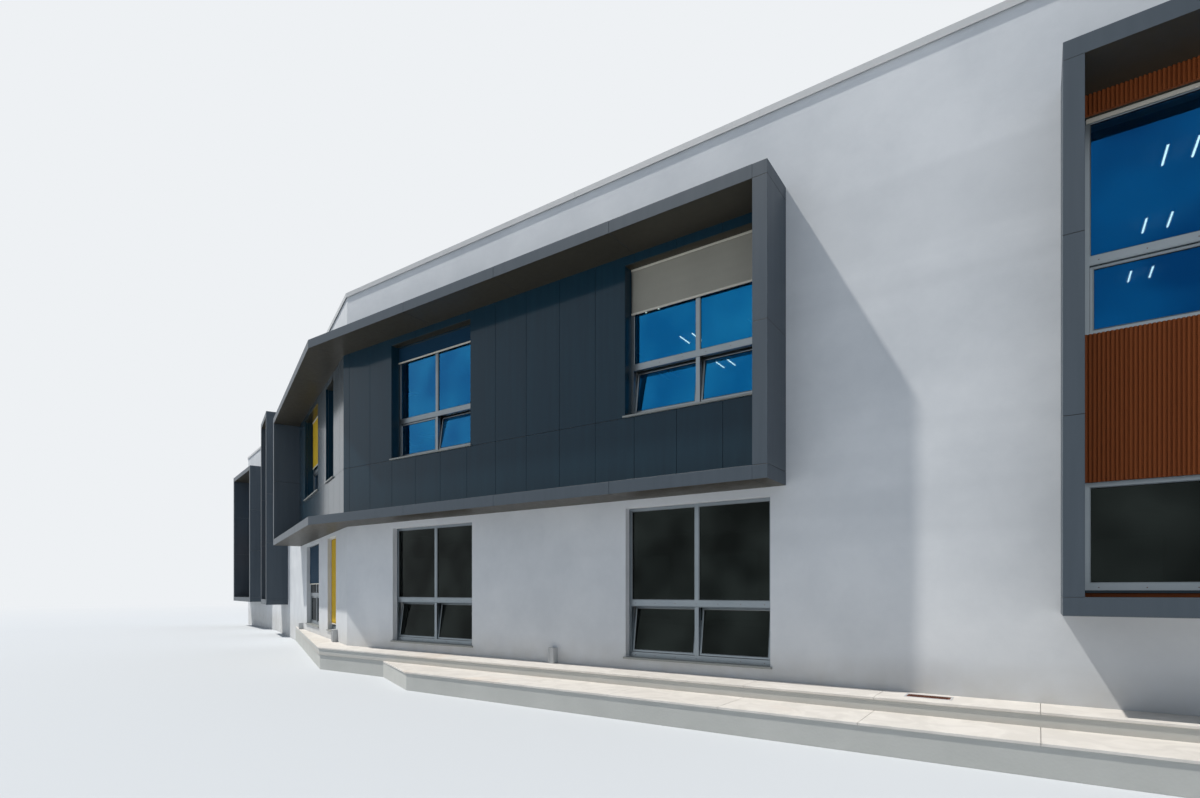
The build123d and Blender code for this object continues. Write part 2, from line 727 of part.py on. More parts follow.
def sash_fields(face, opening, setback, tilts):
    """Each opening sash's own plane, tilted in at the top about its lower inner edge, and its size."""
    fields = [light for light in lights(opening) if light[4]]
    for (left, right, bottom, top, _), tilt in zip(fields, tilts):
        angle = radians(tilt)
        hinge = face.from_local_coords(((left + right) / 2, bottom, -setback - FRAME_DEPTH))
        outward = face.z_dir * cos(angle) + face.y_dir * sin(angle)
        plane = Plane(origin=hinge, x_dir=face.x_dir, z_dir=outward)
        yield plane, right - left - 2 * SASH_CLEARANCE, top - bottom - SASH_CLEARANCE


def sashes(face, opening, setback, tilts):
    """Frames of the opening sashes."""
    for plane, width, height in sash_fields(face, opening, setback, tilts):
        with BuildSketch(plane) as outline:
            rectangle(-width / 2, width / 2, 0, height)
            rectangle(-width / 2 + SASH_WIDTH, width / 2 - SASH_WIDTH, SASH_WIDTH, height - SASH_WIDTH,
                      Mode.SUBTRACT)
        extrude(outline.sketch, amount=SASH_DEPTH)


def sash_panes(face, opening, setback, tilts):
    """Glass of the opening sashes."""
    for plane, width, height in sash_fields(face, opening, setback, tilts):
        slab(plane, -width / 2 + SASH_WIDTH, width / 2 - SASH_WIDTH, SASH_WIDTH, height - SASH_WIDTH,
             (SASH_DEPTH - PANE) / 2, (SASH_DEPTH + PANE) / 2)


def sill(face, opening, setback, cladding=0, ear=SILL_EAR, lapped=False):
    """A thin sill under a window, with an ear past each side of the opening. One that the cladding
    laps over has no nose."""
    bottom, top = opening.sill - SILL_THICKNESS, opening.sill
    slab(face, opening.left, opening.right, bottom, top, -setback - FRAME_DEPTH, cladding)
    if not lapped:
        left, right = opening.left - ear, opening.right + ear
        slab(face, left, right, bottom, top, cladding, cladding + SILL_PROJECTION)


OPEN, SHUT = SASH_TILT, 0.0

# Every front window: its face, its opening, its setback, the cladding round it and its sashes' tilts
GROUND_ROW = [(LONG_FACE, window, GROUND_SETBACK, 0, (OPEN, OPEN)) for window in GROUND_WINDOWS]
GROUND_ROW += [(FOLDED_FACE, window, GROUND_SETBACK, 0, (SHUT, SHUT)) for window in FOLDED_GROUND_WINDOWS]
UPPER_ROW = [
    (LONG_FACE, UPPER_WINDOWS[0], UPPER_SETBACK, PANEL_LONG, (SHUT, OPEN)),
    (LONG_FACE, UPPER_WINDOWS[1], UPPER_SETBACK, PANEL_LONG, (OPEN, OPEN)),
]
UPPER_ROW += [
    (FOLDED_FACE, window, UPPER_SETBACK, PANEL_FOLDED, (SHUT, SHUT)) for window in FOLDED_UPPER_WINDOWS
]
PORTAL_ROW = [
    (face, window, PORTAL_SETBACK, 0, (SHUT, SHUT))
    for face, windows in ((LONG_FACE, RIGHT_PORTAL), (FOLDED_FACE, TALL_PORTAL), (LEFT_FACE, LEFT_PORTAL))
    for window in windows
]

for row, name in ((GROUND_ROW, "ground"), (UPPER_ROW, "upper"), (PORTAL_ROW, "tall_frame")):
    with BuildPart() as frames:
        for face, window, setback, _, _ in row:
            window_frame(face, window, setback)
    save(frames.part, f"{name}_window_frames")

    with BuildPart() as panes:
        for face, window, setback, _, tilts in row:
            fixed_panes(face, window, setback)
            sash_panes(face, window, setback, tilts)
    save(panes.part, f"{name}_window_panes")

    with BuildPart() as opening_sashes:
        for face, window, setback, _, tilts in row:
            sashes(face, window, setback, tilts)
    save(opening_sashes.part, f"{name}_window_sashes")

    with BuildPart() as sills:
        for face, window, setback, cladding, _ in row:
            ear = 0 if row is PORTAL_ROW else SILL_EAR
            sill(face, window, setback, cladding, ear, window.sill == PORTAL_UPPER_SILL)
    save(sills.part, f"{name}_window_sills")

# Dark metal linings in the reveals of the windows inside the metal frames
with BuildPart() as reveal_linings:
    for face, window, setback, _, _ in UPPER_ROW + PORTAL_ROW:
        back = -setback - FRAME_DEPTH
        side = PORTAL_LINING if setback == PORTAL_SETBACK else LINING
        foot = window.sill - SILL_THICKNESS
        with BuildSketch(face.offset(back)) as lining:
            rectangle(window.left - side, window.right + side, foot, window.head + side)
            rectangle(window.left, window.right, foot, window.head, Mode.SUBTRACT)
        extrude(lining.sketch, amount=-back - SHEET_JOINT)
save(reveal_linings.part, "reveal_linings")

# Back windows: every field is fixed, with one sheet of glass behind the bars
with BuildPart() as back_window_frames:
    for bay in BAYS:
        for window in back_windows(bay):
            window_frame(back_face(bay), window, GROUND_SETBACK)
save(back_window_frames.part, "back_window_frames")

with BuildPart() as back_window_panes:
    for bay in BAYS:
        for window in back_windows(bay):
            inner = -GROUND_SETBACK - FRAME_DEPTH
            slab(back_face(bay), window.left, window.right, window.sill, window.head, inner - PANE, inner)
save(back_window_panes.part, "back_window_panes")

with BuildPart() as back_window_sills:
    for bay in BAYS:
        for window in back_windows(bay):
            sill(back_face(bay), window, GROUND_SETBACK)
save(back_window_sills.part, "back_window_sills")


# Roller screens outside the glass, each with a bar along its lower edge
def roller_screen(face, window, setback, bottom):
    """A screen hung from the head of a window opening, just in front of the frame, down to a height."""
    left, right = window.left + SCREEN_SIDE, window.right - SCREEN_SIDE
    outer = SCREEN_GAP - setback
    slab(face, left, right, bottom + SCREEN_BAR, window.head, outer - SCREEN, outer)
    slab(face, left, right, bottom, bottom + SCREEN_BAR,
         outer - (SCREEN + SCREEN_BAR_DEPTH) / 2, outer + (SCREEN_BAR_DEPTH - SCREEN) / 2)


with BuildPart() as blue_screens:
    roller_screen(LONG_FACE, UPPER_WINDOWS[0], UPPER_SETBACK, BLUE_SCREEN_BOTTOM)
    roller_screen(FOLDED_FACE, FOLDED_GROUND_WINDOWS[1], GROUND_SETBACK, BLUE_LOWER_SCREEN_BOTTOM)
save(blue_screens.part, "blue_screens")

with BuildPart() as beige_screen:
    roller_screen(LONG_FACE, UPPER_WINDOWS[1], UPPER_SETBACK, BEIGE_SCREEN_BOTTOM)
save(beige_screen.part, "beige_screen")

with BuildPart() as yellow_screens:
    roller_screen(FOLDED_FACE, FOLDED_UPPER_WINDOWS[1], UPPER_SETBACK, YELLOW_SCREEN_BOTTOM)
    roller_screen(FOLDED_FACE, FOLDED_GROUND_WINDOWS[0], GROUND_SETBACK, YELLOW_LOWER_SCREEN_BOTTOM)
save(yellow_screens.part, "yellow_screens")


# Strip lights on the ceilings, seen through the windows
def strip_lights(ceiling):
    """Rows of lights under a ceiling, along the middle of each straight length."""
    for bay in BAYS:
        middle = (corner(bay, 0) + corner(bay + 1, 0)) * 0.5
        for turn in range(LIGHT_COUNTS[bay]):
            along = (turn - (LIGHT_COUNTS[bay] - 1) / 2) * LIGHT_SPACING
            for depth in LIGHT_ROWS:
                place = middle + leftward(bay) * along + inward(bay) * depth
                plane = Plane(origin=(place.X, place.Y, ceiling), x_dir=leftward(bay), z_dir=(0, 0, -1))
                with BuildSketch(plane) as strip:
                    Rectangle(LIGHT_WIDTH, LIGHT_LENGTH)
                extrude(strip.sketch, amount=LIGHT_HEIGHT)


with BuildPart() as ceiling_lights:
    strip_lights(FIRST_FLOOR - FIRST_SLAB)
    strip_lights(ROOF_TOP - ROOF_SLAB)
save(ceiling_lights.part, "ceiling_lights")
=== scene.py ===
import json
from collections import namedtuple
from math import cos, radians, sin

import bmesh
import bpy
import numpy as np
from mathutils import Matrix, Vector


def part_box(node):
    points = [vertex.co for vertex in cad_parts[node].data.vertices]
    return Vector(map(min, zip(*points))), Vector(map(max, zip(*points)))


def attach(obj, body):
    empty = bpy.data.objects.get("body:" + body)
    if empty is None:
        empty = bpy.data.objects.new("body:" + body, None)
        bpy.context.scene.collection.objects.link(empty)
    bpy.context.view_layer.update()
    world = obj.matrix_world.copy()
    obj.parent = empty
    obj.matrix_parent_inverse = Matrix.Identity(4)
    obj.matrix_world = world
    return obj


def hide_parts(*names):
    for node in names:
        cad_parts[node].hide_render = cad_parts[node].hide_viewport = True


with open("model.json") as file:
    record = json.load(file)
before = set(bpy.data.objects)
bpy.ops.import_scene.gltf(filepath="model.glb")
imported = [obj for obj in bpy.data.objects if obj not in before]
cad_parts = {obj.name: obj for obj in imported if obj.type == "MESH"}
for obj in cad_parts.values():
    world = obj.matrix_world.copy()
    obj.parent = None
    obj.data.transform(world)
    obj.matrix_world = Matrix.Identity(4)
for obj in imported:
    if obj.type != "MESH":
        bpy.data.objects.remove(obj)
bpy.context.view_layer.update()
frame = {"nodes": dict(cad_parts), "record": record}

# A two-storey school wing: white rendered walls folded in plan, a dark metal box frame round the
# upper windows and tall metal frames along its front. Metres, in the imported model's own frame:
# X runs to the right along the long front, -Y is out of it, Z is up and the ground is at zero.

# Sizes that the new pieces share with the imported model
LONG_LENGTH, FOLDED_LENGTH, LEFT_LENGTH = 19.2, 15.0, 6.4
FOLDED_ANGLE, LEFT_ANGLE = radians(23.1), radians(16.9)
BUILDING_DEPTH = 12.0
WALL = 0.4
LEDGE_TOP = 0.48
FIRST_CEILING, TOP_CEILING = 3.63, 7.28
ROOF_TOP = 7.68
WALL_TOP = 8.35
# Rows of windows by their sill, their head and the rail above the opening sash
GROUND_ROW = (0.670, 3.020, 1.520)
FOLDED_GROUND_ROW = (0.710, 3.050, 1.580)
UPPER_ROW = (4.480, 6.860, 5.290)
TALL_LOWER_ROW, TALL_UPPER_ROW = (1.725, 2.870, None), (4.410, 6.770, 5.250)
FRAME_WIDTH, FRAME_FOOT, FRAME_DEPTH, MULLION, RAIL = 0.042, 0.075, 0.070, 0.065, 0.105
SASH_WIDTH, SASH_DEPTH, SASH_CLEARANCE = 0.024, 0.050, 0.004
SILL_THICKNESS = 0.030
PANE = 0.024
GROUND_SETBACK, UPPER_SETBACK, TALL_SETBACK = 0.110, 0.180, 0.060
OPEN, SHUT = radians(8.0), 0.0

# Axes of a surface that pieces are placed on: its foot point, and unit vectors to the right, up and out
Face = namedtuple("Face", "origin right up out")
Opening = namedtuple("Opening", "left right sill head rail mullion", defaults=(None, None))
UP = np.array([0.0, 0.0, 1.0])


def front_face(foot, angle):
    """A front that turns away from the long one by an angle, seen from outside."""
    right = np.array([cos(angle), -sin(angle), 0.0])
    return Face(np.array([foot[0], foot[1], 0.0]), right, UP, np.cross(right, UP))


def on_face(face, along, up, out):
    """Points of the building from measures on a face: its foot point plus each measure times its axis."""
    along, up, out = np.broadcast_arrays(along, up, out)
    return face.origin + along[..., None] * face.right + up[..., None] * face.up + out[..., None] * face.out


# Plan of the building, from the outer corner where the long front folds
long_low, long_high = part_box("front_wall_long")
FOLD = np.array([long_high.x - LONG_LENGTH, long_low.y])
ANGLES = (0.0, FOLDED_ANGLE, LEFT_ANGLE)
LEFTWARD = [np.array([-cos(angle), sin(angle)]) for angle in ANGLES]
INWARD = [np.array([sin(angle), cos(angle)]) for angle in ANGLES]
FRONT_LINE = [FOLD + [LONG_LENGTH, 0.0], FOLD]
FRONT_LINE.append(FRONT_LINE[-1] + LEFTWARD[1] * FOLDED_LENGTH)
FRONT_LINE.append(FRONT_LINE[-1] + LEFTWARD[2] * LEFT_LENGTH)

LONG = front_face(FOLD, 0.0)
FOLDED = front_face(FOLD, FOLDED_ANGLE)
LEFT = front_face(FRONT_LINE[2], LEFT_ANGLE)

# The front line's corners are numbered from 0 to the last one, and the rim runs along it and back
LAST_CORNER = len(ANGLES)
RIM_SIDES = 2 * (LAST_CORNER + 1)


def plan_corner(index, depth):
    """Corner of the front line moved into the building: where the two walls' moved lines cross."""
    if index == 0:
        return FRONT_LINE[0] + INWARD[0] * depth
    if index == LAST_CORNER:
        return FRONT_LINE[-1] + INWARD[-1] * depth
    both = INWARD[index - 1] + INWARD[index]
    return FRONT_LINE[index] + both * (depth / (1 + INWARD[index - 1] @ INWARD[index]))


def rim_corner(step, inset):
    """Corner of the loop round all eight walls, front first and then the back, moved in by an inset."""
    step %= RIM_SIDES
    if step <= LAST_CORNER:
        index, depth = step, inset
    else:
        index, depth = RIM_SIDES - 1 - step, BUILDING_DEPTH - inset
    corner = plan_corner(index, depth)
    if index == 0:
        return corner + LEFTWARD[0] * inset
    if index == LAST_CORNER:
        return corner - LEFTWARD[-1] * inset
    return corner


# Windows of the front rows, each with its setback and how far its sashes are tilted
LONG_WINDOWS = [
    (Opening(1.600, 3.950, *GROUND_ROW, 2.810), GROUND_SETBACK, (OPEN, OPEN)),
    (Opening(7.390, 9.740, *GROUND_ROW, 8.575), GROUND_SETBACK, (OPEN, OPEN)),
    (Opening(1.585, 3.930, *UPPER_ROW, 2.760), UPPER_SETBACK, (SHUT, OPEN)),
    (Opening(7.390, 9.600, *UPPER_ROW, 8.560), UPPER_SETBACK, (OPEN, OPEN)),
]
FOLDED_WINDOWS = [
    (Opening(-2.550, -1.380, *FOLDED_GROUND_ROW), GROUND_SETBACK, (SHUT,)),
    (Opening(-6.280, -3.950, *FOLDED_GROUND_ROW, -5.115), GROUND_SETBACK, (SHUT, SHUT)),
    (Opening(-2.430, -1.370, *UPPER_ROW), UPPER_SETBACK, (SHUT,)),
    (Opening(-6.200, -3.720, *UPPER_ROW, -4.960), UPPER_SETBACK, (SHUT, SHUT)),
]
TALL_FIN, TALL_LINING, BEAM = 0.175, 0.035, 0.185
# Each tall frame by its face, its sides, its lowest and highest level and its windows' mullion
TALL_FRAMES = [
    (LONG, 12.980, 17.180, 1.470, 7.170, 15.080),
    (FOLDED, -13.400, -11.100, 1.180, 8.280, None),
    (LEFT, -5.930, -1.730, 1.200, 7.190, -3.830),
]


def tall_windows(left, right, mullion):
    """The lower and the upper window inside a tall frame."""
    left, right = left + TALL_FIN + TALL_LINING, right - TALL_FIN - TALL_LINING
    return [Opening(left, right, *row, mullion) for row in (TALL_LOWER_ROW, TALL_UPPER_ROW)]


WINDOWS = [(LONG, *window) for window in LONG_WINDOWS] + [(FOLDED, *window) for window in FOLDED_WINDOWS]
for face, left, right, _, _, mullion in TALL_FRAMES:
    for opening in tall_windows(left, right, mullion):
        WINDOWS.append((face, opening, TALL_SETBACK, (SHUT, SHUT)))


# Mesh making
def lofted(sections, looped=False):
    """A closed surface through matching outlines, (stations, points, 3). A quad joins each point to the
    next one round its outline and to the same point of the next outline. The two end outlines are closed
    with a face each, or where it is looped the last outline joins the first."""
    stations, count = sections.shape[:2]
    index = np.arange(stations * count).reshape(stations, count)
    near, far = (index, np.roll(index, -1, axis=0)) if looped else (index[:-1], index[1:])
    quads = np.stack([near, np.roll(near, -1, axis=1), np.roll(far, -1, axis=1), far], axis=-1)
    faces = quads.reshape(-1, 4).tolist()
    if not looped:
        faces += [index[0][::-1].tolist(), index[-1].tolist()]
    return sections.reshape(-1, 3), faces


def piece(name, parts, material, slot, *nodes):
    """A piece from several surfaces, with every face turned outwards, then its material, the body it
    rides on and the nodes that it stands for. Its slot is not used."""
    offsets = np.cumsum([0] + [len(points) for points, _ in parts])
    points = np.concatenate([points for points, _ in parts])
    faces = [[corner + offset for corner in face]
             for (_, part), offset in zip(parts, offsets) for face in part]
    mesh = bpy.data.meshes.new(name)
    mesh.from_pydata(points.tolist(), [], faces)
    form = bmesh.new()
    form.from_mesh(mesh)
    bmesh.ops.recalc_face_normals(form, faces=form.faces)
    form.to_mesh(mesh)
    form.free()
    mesh.materials.append(material)
    made = bpy.data.objects.new(name, mesh)
    bpy.context.scene.collection.objects.link(made)
    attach(made, "root")
    if nodes:
        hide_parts(*nodes)
    return made


def folded_sheet(line, thickness):
    """Outline of a folded sheet: its line moved half its thickness to each side, square to the mean
    direction of the two runs at each fold."""
    line = np.array(line, float)
    runs = np.diff(line, axis=0)
    runs /= np.linalg.norm(runs, axis=1, keepdims=True)
    sides = np.stack([-runs[:, 1], runs[:, 0]], axis=1)
    joined = np.concatenate([sides[:1], sides[:-1] + sides[1:], sides[-1:]])
    joined[1:-1] /= (1 + np.sum(sides[:-1] * sides[1:], axis=1))[:, None]
    return np.concatenate([line + joined * thickness / 2, (line - joined * thickness / 2)[::-1]])


def ring(face, field, outline):
    """A mitred frame round a field (left, right, bottom, top): each point (inset, out) of its outline is
    carried round the field's four corners."""
    left, right, bottom, top = field
    inset, out = np.array(outline, float).T
    along = np.stack([left + inset, right - inset, right - inset, left + inset])
    up = np.stack([bottom + inset, bottom + inset, top - inset, top - inset])
    return lofted(on_face(face, along, up, out[None]), looped=True)


def level_run(face, outline, left, right):
    """A level bar: its outline of (up, out) points carried along the face from left to right."""
    up, out = np.array(outline, float).T
    return lofted(on_face(face, np.array([[left], [right]]), up[None], out[None]))


def upright_run(face, outline, bottom, top):
    """An upright bar: its outline of (along, out) points carried up the face."""
    along, out = np.array(outline, float).T
    return lofted(on_face(face, along[None], np.array([[bottom], [top]]), out[None]))


def fields(opening):
    """The glazed fields of a window as (left, right, bottom, top) and whether the field opens."""
    left, right = opening.left + FRAME_WIDTH, opening.right - FRAME_WIDTH
    columns = [(left, right)]
    if opening.mullion is not None:
        columns = [(left, opening.mullion - MULLION / 2), (opening.mullion + MULLION / 2, right)]
    bottom, top = opening.sill + FRAME_FOOT, opening.head - FRAME_WIDTH
    rows = [(bottom, top, False)]
    if opening.rail is not None:
        rows = [(bottom, opening.rail - RAIL / 2, True), (opening.rail + RAIL / 2, top, False)]
    return [((*column, low, high), opens) for column in columns for low, high, opens in rows]


def sash_face(face, field, setback, tilt):
    """The plane of an opening sash: it turns in at the top, about its lower inner edge."""
    left, right, bottom, _ = field
    hinge = on_face(face, (left + right) / 2, bottom, -setback - FRAME_DEPTH)
    out = face.out * cos(tilt) + face.up * sin(tilt)
    return Face(hinge, face.right, face.up * cos(tilt) - face.out * sin(tilt), out)


# Materials
def colour(code):
    """Linear colour from an sRGB hex code."""
    parts = np.array([int(code[start:start + 2], 16) for start in (1, 3, 5)]) / 255
    linear = np.where(parts <= 0.04045, parts / 12.92, ((parts + 0.055) / 1.055) ** 2.4)
    return (*linear.tolist(), 1.0)


def link(source, node, socket):
    """Link an output, or a node's first output in use, into a socket of another node of its tree."""
    if isinstance(source, bpy.types.Node):
        source = next(output for output in source.outputs if output.enabled)
    node.id_data.links.new(source, node.inputs[socket])


def add(tree, kind, settings, links=()):
    """Add a shader node, with settings for its properties and sockets, and links into its sockets."""
    node = tree.nodes.new("ShaderNode" + kind)
    for name, value in settings.items():
        if isinstance(name, str) and hasattr(node, name):
            setattr(node, name, value)
        else:
            node.inputs[name].default_value = value
    for socket, source in dict(links).items():
        link(source, node, socket)
    return node


def new_material(name, **sockets):
    """A material whose shader has these socket values, with the piece's own coordinates in metres."""
    made = bpy.data.materials.new(name)
    made.use_nodes = True
    tree = made.node_tree
    shader = tree.nodes["Principled BSDF"]
    for socket, value in sockets.items():
        shader.inputs[socket.replace("_", " ")].default_value = value
    place = add(tree, "TexCoord", {})
    return made, tree, shader, place.outputs["Object"]


# The two colours' sockets of a colour mix node
FIRST, SECOND = 6, 7


def per_metre(millimetres):
    """How many times a pattern of this size repeats in a metre."""
    return 1000 / millimetres


# Heights of the splashed dirt on the render, of the tawny stain on the ledge's concrete base, and of
# the change from one storey's glass to the next
SPLASH_TOP = 0.95
STAIN_TOP, STAIN_FULL, STAIN_FOOT = 0.400, 0.325, 0.315
GLASS_CHANGE_LOW, GLASS_CHANGE_HIGH = 3.4, 3.5


def mineral_render():
    """Through-coloured mineral render, floated by hand. It is a cool white with faint cloudy patches
    from the float, level bands where one day's work meets the next, and dirt washed to its foot."""
    made, tree, shader, place = new_material("floated_mineral_render", Roughness=0.88)
    cloud = add(tree, "TexNoise", {"Scale": per_metre(1600), "Detail": 7.0, "Roughness": 0.62},
                {"Vector": place})
    clouds = add(tree, "MapRange", {"From Min": 0.35, "From Max": 0.68}, {"Value": cloud})
    base = add(tree, "Mix", {"data_type": "RGBA", FIRST: colour("#C8CCD0"), SECOND: colour("#D8DBDE")},
               {0: clouds})
    # One day's work is a band about 1.1 m high and 17 m long
    lift = add(tree, "Mapping", {"Scale": (0.06, 0.06, 0.9)}, {"Vector": place})
    bands = add(tree, "TexNoise", {"Scale": 1.0, "Detail": 3.0}, {"Vector": lift})
    band = add(tree, "MapRange", {"From Min": 0.52, "From Max": 0.60, "To Max": 0.30}, {"Value": bands})
    banded = add(tree, "Mix", {"data_type": "RGBA", SECOND: colour("#BFC3C7")}, {0: band, FIRST: base})
    height = add(tree, "SeparateXYZ", {}, {"Vector": place})
    splash = add(tree, "MapRange", {"From Min": SPLASH_TOP, "From Max": LEDGE_TOP, "To Max": 0.55},
                 {"Value": height.outputs["Z"]})
    patch = add(tree, "TexNoise", {"Scale": per_metre(260), "Detail": 5.0}, {"Vector": place})
    soiled = add(tree, "Math", {"operation": "MULTIPLY"}, {0: splash, 1: patch})
    dirty = add(tree, "Mix", {"data_type": "RGBA", SECOND: colour("#A9A294")}, {0: soiled, FIRST: banded})
    link(dirty, shader, "Base Color")
    # The sand is 1.5 mm across and is drawn at 7 mm so that it shows
    grain = add(tree, "TexNoise", {"Scale": per_metre(7), "Detail": 3.0}, {"Vector": place})
    trowel = add(tree, "TexNoise", {"Scale": per_metre(150), "Detail": 4.0, "Distortion": 0.6},
                 {"Vector": place})
    fine = add(tree, "Bump", {"Strength": 0.25, "Distance": 0.002}, {"Height": grain})
    broad = add(tree, "Bump", {"Strength": 0.35, "Distance": 0.006}, {"Height": trowel, "Normal": fine})
    link(broad, shader, "Normal")
    return made


def cast_concrete():
    """Cast concrete, struck from boards: grey, cloudy, with pinholes, and a tawny stain low down on it."""
    made, tree, shader, place = new_material("cast_concrete", Roughness=0.85)
    cloud = add(tree, "TexNoise", {"Scale": per_metre(500), "Detail": 8.0}, {"Vector": place})
    base = add(tree, "Mix", {"data_type": "RGBA", FIRST: colour("#AEB0AC"), SECOND: colour("#C2C3BF")},
               {0: cloud})
    height = add(tree, "SeparateXYZ", {}, {"Vector": place})
    foot = add(tree, "MapRange", {"From Min": STAIN_TOP, "From Max": STAIN_FULL, "To Max": 0.35},
               {"Value": height.outputs["Z"]})
    above = add(tree, "Math", {"operation": "GREATER_THAN", 1: STAIN_FOOT}, {0: height.outputs["Z"]})
    patch = add(tree, "Math", {"operation": "MULTIPLY"}, {0: foot, 1: cloud})
    soiled = add(tree, "Math", {"operation": "MULTIPLY"}, {0: patch, 1: above})
    stained = add(tree, "Mix", {"data_type": "RGBA", SECOND: colour("#B39C88")}, {0: soiled, FIRST: base})
    link(stained, shader, "Base Color")
    holes = add(tree, "TexVoronoi", {"Scale": per_metre(30)}, {"Vector": place})
    bump = add(tree, "Bump", {"Strength": 0.3, "Distance": 0.003}, {"Height": holes})
    link(bump, shader, "Normal")
    return made


def bitumen_felt():
    """Mineral-faced bitumen felt, torched down in strips: grey grit with paler weathered patches."""
    made, tree, shader, place = new_material("mineral_bitumen_felt", Roughness=0.95)
    cloud = add(tree, "TexNoise", {"Scale": per_metre(1200), "Detail": 6.0}, {"Vector": place})
    base = add(tree, "Mix", {"data_type": "RGBA", FIRST: colour("#8A8B8A"), SECOND: colour("#A9AAA8")},
               {0: cloud})
    link(base, shader, "Base Color")
    # The slate grit is 1 mm across and is drawn at 8 mm so that it shows
    grit = add(tree, "TexNoise", {"Scale": per_metre(8), "Detail": 2.0}, {"Vector": place})
    bump = add(tree, "Bump", {"Strength": 0.5, "Distance": 0.002}, {"Height": grit})
    link(bump, shader, "Normal")
    return made


def pale_limestone():
    """Honed limestone slabs: off-white with faint veins and rusty stains in patches."""
    made, tree, shader, place = new_material("honed_limestone", Roughness=0.62)
    vein = add(tree, "TexNoise", {"Scale": per_metre(420), "Detail": 8.0, "Distortion": 1.4},
               {"Vector": place})
    veins = add(tree, "MapRange", {"From Min": 0.42, "From Max": 0.62}, {"Value": vein})
    base = add(tree, "Mix", {"data_type": "RGBA", FIRST: colour("#CECAC4"), SECOND: colour("#D9D5CF")},
               {0: veins})
    stain = add(tree, "TexNoise", {"Scale": per_metre(1700), "Detail": 3.0}, {"Vector": place})
    stains = add(tree, "MapRange", {"From Min": 0.62, "From Max": 0.74, "To Max": 0.22}, {"Value": stain})
    stained = add(tree, "Mix", {"data_type": "RGBA", SECOND: colour("#D9B48F")}, {0: stains, FIRST: base})
    link(stained, shader, "Base Color")
    bump = add(tree, "Bump", {"Strength": 0.12, "Distance": 0.002}, {"Height": vein})
    link(bump, shader, "Normal")
    return made


def coated_steel(name, dark, light, roughness, mirror, lacquer):
    """Sheet steel with a baked powder coat: a satin slate colour, a skin like fine orange peel, and
    dust that rain has drawn into upright streaks. Painted shade darkens the undersides.
    Lacquer over it is clear seen straight on and mirrors the sky seen at a low angle."""
    made, tree, shader, place = new_material(name, Roughness=roughness, Specular_IOR_Level=mirror,
                                             Coat_Weight=lacquer, Coat_IOR=1.27, Coat_Roughness=0.12)
    rain = add(tree, "Mapping", {"Scale": (per_metre(90), per_metre(90), per_metre(1500))},
               {"Vector": place})
    streak = add(tree, "TexNoise", {"Scale": 1.0, "Detail": 5.0}, {"Vector": rain})
    base = add(tree, "Mix", {"data_type": "RGBA", FIRST: colour(dark), SECOND: colour(light)}, {0: streak})
    # Painted shade: faces that look down are darkened towards a dark brown
    surface = add(tree, "NewGeometry", {})
    facing = add(tree, "SeparateXYZ", {}, {"Vector": surface.outputs["Normal"]})
    painted_underside_shade = add(tree, "MapRange", {"From Min": -0.5, "From Max": -0.9, "To Max": 0.85},
                {"Value": facing.outputs["Z"]})
    underside_shaded = add(tree, "Mix", {"data_type": "RGBA", SECOND: colour("#3A3323")}, {0: painted_underside_shade, FIRST: base})
    link(underside_shaded, shader, "Base Color")
    dull = add(tree, "MapRange", {"To Min": roughness - 0.08, "To Max": roughness + 0.10}, {"Value": streak})
    link(dull, shader, "Roughness")
    # The peel is 1 mm across and is drawn at 5 mm so that it shows
    peel = add(tree, "TexNoise", {"Scale": per_metre(5), "Detail": 1.0}, {"Vector": place})
    bump = add(tree, "Bump", {"Strength": 0.08, "Distance": 0.0005}, {"Height": peel})
    link(bump, shader, "Normal")
    return made


def composite_boards():
    """Extruded boards of wood flour and resin, four ribs wide: red-brown, each board a shade off its
    neighbour, brushed along their length so that they stay dull."""
    made, tree, shader, place = new_material("extruded_composite_boards", Roughness=0.78,
                                             Specular_IOR_Level=0.3)
    board = add(tree, "Mapping", {"Scale": (per_metre(148), per_metre(148), 0.0)}, {"Vector": place})
    cell = add(tree, "VectorMath", {"operation": "FLOOR"}, {0: board})
    shade = add(tree, "TexWhiteNoise", {"noise_dimensions": "3D"}, {"Vector": cell})
    lengthways = add(tree, "Mapping", {"Scale": (per_metre(4), per_metre(4), per_metre(160))},
                     {"Vector": place})
    brushed = add(tree, "TexNoise", {"Scale": 1.0, "Detail": 4.0}, {"Vector": lengthways})
    mixed = add(tree, "Math", {"operation": "MULTIPLY_ADD", 1: 0.22, 2: 0.2}, {0: shade})
    both = add(tree, "Math", {"operation": "MULTIPLY_ADD", 1: 0.5}, {0: brushed, 2: mixed})
    base = add(tree, "Mix", {"data_type": "RGBA", FIRST: colour("#743813"), SECOND: colour("#8E4A1E")},
               {0: both})
    link(base, shader, "Base Color")
    bump = add(tree, "Bump", {"Strength": 0.35, "Distance": 0.001}, {"Height": brushed})
    link(bump, shader, "Normal")
    return made


def anodised_aluminium():
    """Extruded aluminium, satin anodised: a silver metal, a little uneven in shade and gloss."""
    made, tree, shader, place = new_material("satin_anodised_aluminium", Metallic=1.0, Roughness=0.36)
    cloud = add(tree, "TexNoise", {"Scale": per_metre(240), "Detail": 4.0}, {"Vector": place})
    base = add(tree, "Mix", {"data_type": "RGBA", FIRST: colour("#7A8389"), SECOND: colour("#8D959B")},
               {0: cloud})
    link(base, shader, "Base Color")
    dull = add(tree, "MapRange", {"To Min": 0.30, "To Max": 0.44}, {"Value": cloud})
    link(dull, shader, "Roughness")
    return made


